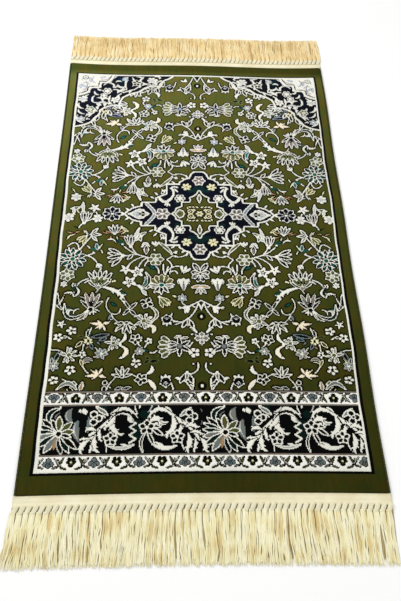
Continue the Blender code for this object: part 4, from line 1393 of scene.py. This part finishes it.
def knotShape(tree, given, which, middle, along):
    plied, knot = fringe["plied"], which["knot"]
    root = halfLength + fringe["tapeWidth"]
    swell = calc(tree, "SINE", product(tree, calc(tree, "POWER", along, 0.8), math.pi))
    reach = total(tree, 0.0026, product(tree, swell, 0.0008))
    turn = total(tree, product(tree, which["number"], 2 * math.pi / plied["perKnot"]),
                 product(tree, along, plied["twist"]), chanceField(tree, 0.0, 6.0, knot, 31))
    centre = total(tree, middle, product(tree, given["Facing"], -fringe["slant"],
                                         calc(tree, "SUBTRACT", 0.9, product(tree, along, 1.9))),
                   chanceField(tree, -0.0004, 0.0004, knot, 33))
    x = total(tree, centre, product(tree, reach, calc(tree, "COSINE", turn)))
    thick = total(tree, 0.0008, product(tree, swell, 0.0007))
    z = total(tree, plied["height"], product(tree, calc(tree, "SINE", turn), thick))
    y = total(tree, root - plied["overlap"], product(tree, along, fringe["knotLength"] + plied["overlap"]))
    return placed(tree, given, x, y, z), total(tree, 0.90, product(tree, swell, 0.16))


def stitchShape(tree, given, which, middle, along):  # the seam's stitches, from the tape up onto the pile
    stitches, strand = fringe["stitches"], which["strand"]
    share = halfShare(tree, which["number"], stitches["perKnot"])
    x = total(tree, middle, product(tree, share, knotPitch), chanceField(tree, -0.0003, 0.0003, strand, 41),
              product(tree, along, 0.0006))
    reach = total(tree, stitches["reach"], chanceField(tree, -0.0004, 0.0005, strand, 43))
    y = total(tree, halfLength + 0.0009, product(tree, along, reach))
    arch = product(tree, calc(tree, "SINE", product(tree, along, math.pi)), stitches["arch"])
    z = total(tree, stitches["height"], product(tree, along, -0.0005), arch)
    return placed(tree, given, x, y, z), 1.0


def makeFringe(facing):
    label, length, sway, waves, seed = fringe["ends"][facing]
    values = {"Facing": float(facing), "Length": length, "Sway": sway, "Waves": waves, "Seed": seed}
    rows = {"strands": (strandTree, fringe["yarnRadius"]), "under": (underTree, fringe["under"]["radius"]),
            "knots": (knotTree, fringe["plied"]["radius"]),
            "stitches": (stitchTree, fringe["stitches"]["radius"])}
    baked = [bakedTree(f"fringe_{label}_{part}", tree, guideObject(), {**values, "Radius": radius})
             for part, (tree, radius) in rows.items()]
    # painted shade: the far fringe takes the darker copies of the fringe colours
    if facing > 0:
        baked[0].data.materials[0] = materials["shadedFarStrands"]
        baked[1].data.materials[0] = materials["shadedFarUnder"]
    return [makeTape(facing, label)] + baked


tape = {  # ribs: start and end of each from the sewn edge, and how proud it stands
    "ribs": [(0.0003, 0.0062, 0.0003), (0.0066, 0.0128, 0.0003), (0.0132, 0.0206, 0.0006)],
    "slope": (0.0014, 0.0140, 0.0024),
    "base": 0.0020, "sunk": 0.0002, "edge": 0.7, "across": 22, "along": 160, "ripple": 0.00008, "seed": 5,
    "wave": (0.00012, 260, 300),
}


def makeTape(facing, label):
    base = tape["base"]
    out = np.linspace(rug["seam"], fringe["tapeWidth"], tape["across"] + 1)
    start, stop, crown = tape["slope"]
    rise = base - tape["sunk"] + crown * np.clip((stop - out) / (stop - start), 0,
                                                 1) * np.clip(out / start, 0, 1)
    for start, stop, crown in tape["ribs"]:
        rise += crown * np.sin(np.clip((out - start) / (stop - start), 0, 1) * math.pi) ** 0.6
    rise[[0, -1]] = base * tape["edge"]
    xs = np.linspace(-halfWidth, halfWidth, tape["along"] + 1)
    chance = np.random.default_rng(tape["seed"])
    gridX, gridOut = np.meshgrid(xs, out, indexing="ij")
    z = rise[None, :] + chance.uniform(-1, 1, gridX.shape) * tape["ripple"]
    deep, across, along = tape["wave"]
    z += deep * np.sin(gridX * across) * np.sin(gridOut * along)
    top = np.stack([gridX, facing * (halfLength + gridOut), z], -1).reshape(-1, 3)
    low = top.copy()
    low[:, 2] = 0
    count = len(out)
    index = np.arange(len(top)).reshape(len(xs), count)
    quads = np.stack([index[:-1, :-1], index[1:, :-1], index[1:, 1:], index[:-1, 1:]], -1).reshape(-1, 4)
    ring = np.concatenate([index[:-1, 0], index[-1, :-1], index[:0:-1, -1], index[0, :0:-1]])
    after = np.roll(ring, -1)
    walls = np.stack([ring, ring + len(top), after + len(top), after], -1)
    faces = np.concatenate([quads, quads[:, ::-1] + len(top), walls])
    if facing < 0:
        faces = faces[:, ::-1]
    return meshObject(f"fringe_{label}_tape", laidOut(np.vstack([top, low])), faces.tolist(),
                      materials["tape"])


strandTree = bundleTree("strandsOfFringe", materials["strands"], fringe["yarnsPerKnot"], fringe["points"],
                        strandShape, plies=fringe["yarnsPerCord"])
underTree = bundleTree("lowStrandsOfFringe", materials["under"], fringe["under"]["perKnot"], 6, underShape,
                       flat=fringe["under"]["flat"])
knotTree = bundleTree("knotsOfFringe", materials["knots"], fringe["plied"]["perKnot"], 7, knotShape, 5)
stitchTree = bundleTree("seamStitches", materials["stitch"], fringe["stitches"]["perKnot"], 5, stitchShape)
fringePieces = {facing: makeFringe(facing) for facing in (1, -1)}
print("fringes tied")

binding = {"turns": 430, "height": 0.0060, "yarn": 0.00085, "core": 0.0021, "slant": 24, "inset": 0.0015}


def bindingTree():
    tree, given, end = groupTree(
        "overcastEdge", "GeometryNodeTree",
        [("Geometry", "NodeSocketGeometry", None), ("Turns", "NodeSocketInt", 400),
         ("Yarn", "NodeSocketFloat", 0.0008),
         ("Core", "NodeSocketFloat", 0.002), ("Height", "NodeSocketFloat", 0.003),
         ("Width", "NodeSocketFloat", 0.0022), ("Seed", "NodeSocketInt", 2)],
        [("Geometry", "NodeSocketGeometry")])
    path = add(tree, "GeometryNodeMeshToCurve", {"Mesh": given["Geometry"]}).outputs[0]
    places = add(tree, "GeometryNodeCurveToPoints", {"Curve": path, "Count": given["Turns"]}, mode="COUNT")
    index = add(tree, "GeometryNodeInputIndex").outputs[0]
    tone = chanceField(tree, 0.2, 0.9, index, given["Seed"])
    points = stored(tree, places.outputs["Points"], "tone", tone)
    loop = add(tree, "GeometryNodeCurvePrimitiveCircle", {"Resolution": 12, "Radius": 1.0}).outputs[0]
    size = add(tree, "ShaderNodeCombineXYZ",
               {"X": given["Width"], "Y": given["Height"], "Z": given["Height"]}).outputs[0]
    loop = add(tree, "GeometryNodeTransform", {"Geometry": loop,
                                               "Rotation": (math.radians(binding["slant"]), 0,
                                                            0)}).outputs[0]
    loop = add(tree, "GeometryNodeTransform", {"Geometry": loop, "Scale": size}).outputs[0]
    ring = add(tree, "GeometryNodeCurvePrimitiveCircle",
               {"Resolution": 4, "Radius": given["Yarn"]}).outputs[0]
    turn = add(tree, "GeometryNodeCurveToMesh", {"Curve": loop, "Profile Curve": ring}).outputs[0]
    uneven = chanceField(tree, 0.94, 1.03, index, 4)
    turns = add(tree, "GeometryNodeInstanceOnPoints", {"Points": points, "Instance": turn,
                                                       "Rotation": (math.radians(90), 0, 0),
                                                       "Scale": uneven}).outputs[0]
    core = add(tree, "GeometryNodeCurvePrimitiveCircle",
               {"Resolution": 8, "Radius": given["Core"]}).outputs[0]
    smoothPath = add(tree, "GeometryNodeResampleCurve", {"Curve": path, "Count": 120}).outputs[0]
    inside = add(tree, "GeometryNodeCurveToMesh",
                 {"Curve": smoothPath, "Profile Curve": core, "Fill Caps": True}).outputs[0]
    both = add(tree, "GeometryNodeJoinGeometry")
    tree.links.new(turns, both.inputs[0])
    tree.links.new(inside, both.inputs[0])
    finished(tree, end, both.outputs[0], materials["binding"])
    return tree


def makeBinding(tree, side):
    middle = side * (halfWidth - rug["bindingWidth"] / 2)
    reach = halfLength - binding["inset"]
    ys = np.linspace(-reach, reach, 60)
    guide = guideObject([(middle, float(y), binding["height"] / 2) for y in ys])
    values = {"Turns": binding["turns"], "Yarn": binding["yarn"], "Core": binding["core"],
              "Height": binding["height"] / 2 - binding["yarn"],
              "Width": rug["bindingWidth"] / 2 - binding["yarn"]}
    return bakedTree("side_overcasting_left" if side < 0 else "side_overcasting_right", tree, guide, values)


overcast = bindingTree()
bindings = {side: makeBinding(overcast, side) for side in (-1, 1)}
print("sides overcast")

# bodies and what stands for what
for piece in pilePieces + [ground]:
    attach(piece, "root")
    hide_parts("rug")
for facing, pieces in fringePieces.items():
    for piece in pieces:
        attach(piece, "root")
        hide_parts("fringe_back" if facing > 0 else "fringe_front")
for side, piece in bindings.items():
    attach(piece, "root")
    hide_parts("side_binding_left" if side < 0 else "side_binding_right")

# floor, lights, camera
stage = {
    "floorColour": (0.985, 0.985, 0.98, 1), "floorGrain": (60.0, 60.0, 0.01, 2.0, 0.01), "floorHalf": 6.0,
    "floorHeight": -0.0002,
    "world": (1.0, 1.0, 1.0, 1), "worldStrength": 0.62,
    "lights": [  # name, place, aim, size, watts
        ("keyLight", (-1.5, 1.0, 2.1), (0, 0, 0), 1.4, 40),
        ("fillLight", (1.6, -0.9, 2.2), (0, -0.1, 0), 2.2, 14),
    ],
}


def makeFloor():
    material, tree, shader = newMaterial("paleFloor", 0.75, 0.0)
    spot = add(tree, "ShaderNodeTexCoord").outputs["Object"]
    toned = grained(tree, stage["floorColour"], spot, *stage["floorGrain"])[0]
    tree.links.new(toned, shader.inputs["Base Color"])
    half = stage["floorHalf"]
    corners = [(-half, -half, 0), (half, -half, 0), (half, half, 0), (-half, half, 0)]
    floor = meshObject("floor", corners, [(0, 1, 2, 3)], material, smooth=False)
    floor.location.z = stage["floorHeight"]


def aimed(obj, place, aim):
    obj.location = place
    obj.rotation_euler = (Vector(aim) - Vector(place)).to_track_quat("-Z", "Y").to_euler()


def makeLights():
    for name, place, aim, size, watts in stage["lights"]:
        data = bpy.data.lights.new(name, "AREA")
        data.size = size
        data.energy = watts
        light = bpy.data.objects.new(name, data)
        bpy.context.scene.collection.objects.link(light)
        aimed(light, place, aim)
    world = bpy.data.worlds.new("studio")
    world.use_nodes = True
    background = world.node_tree.nodes["Background"]
    background.inputs[0].default_value = stage["world"]
    background.inputs[1].default_value = stage["worldStrength"]
    bpy.context.scene.world = world


# the photograph's viewing angle: down from level, off straight ahead, and turned about the line of sight
view = {
    "place": (-0.05996, -1.11743, 1.31452), "down": 54.117, "aside": 3.649, "roll": 3.505, "lens": 46.80,
}


def makeCamera():
    data = bpy.data.cameras.new("camera")
    data.lens = view["lens"]
    data.sensor_width = 36
    data.sensor_fit = "AUTO"
    camera = bpy.data.objects.new("camera", data)
    turn = (Matrix.Rotation(-math.radians(view["aside"]), 4, "Z")
            @ Matrix.Rotation(math.radians(90 - view["down"]), 4, "X")
            @ Matrix.Rotation(math.radians(view["roll"]), 4, "Z"))
    camera.matrix_world = Matrix.Translation(view["place"]) @ turn
    bpy.context.scene.collection.objects.link(camera)
    bpy.context.scene.camera = camera


makeFloor()
makeLights()
makeCamera()
bpy.context.scene.view_settings.view_transform = "Standard"
print("floor, lights and camera set")
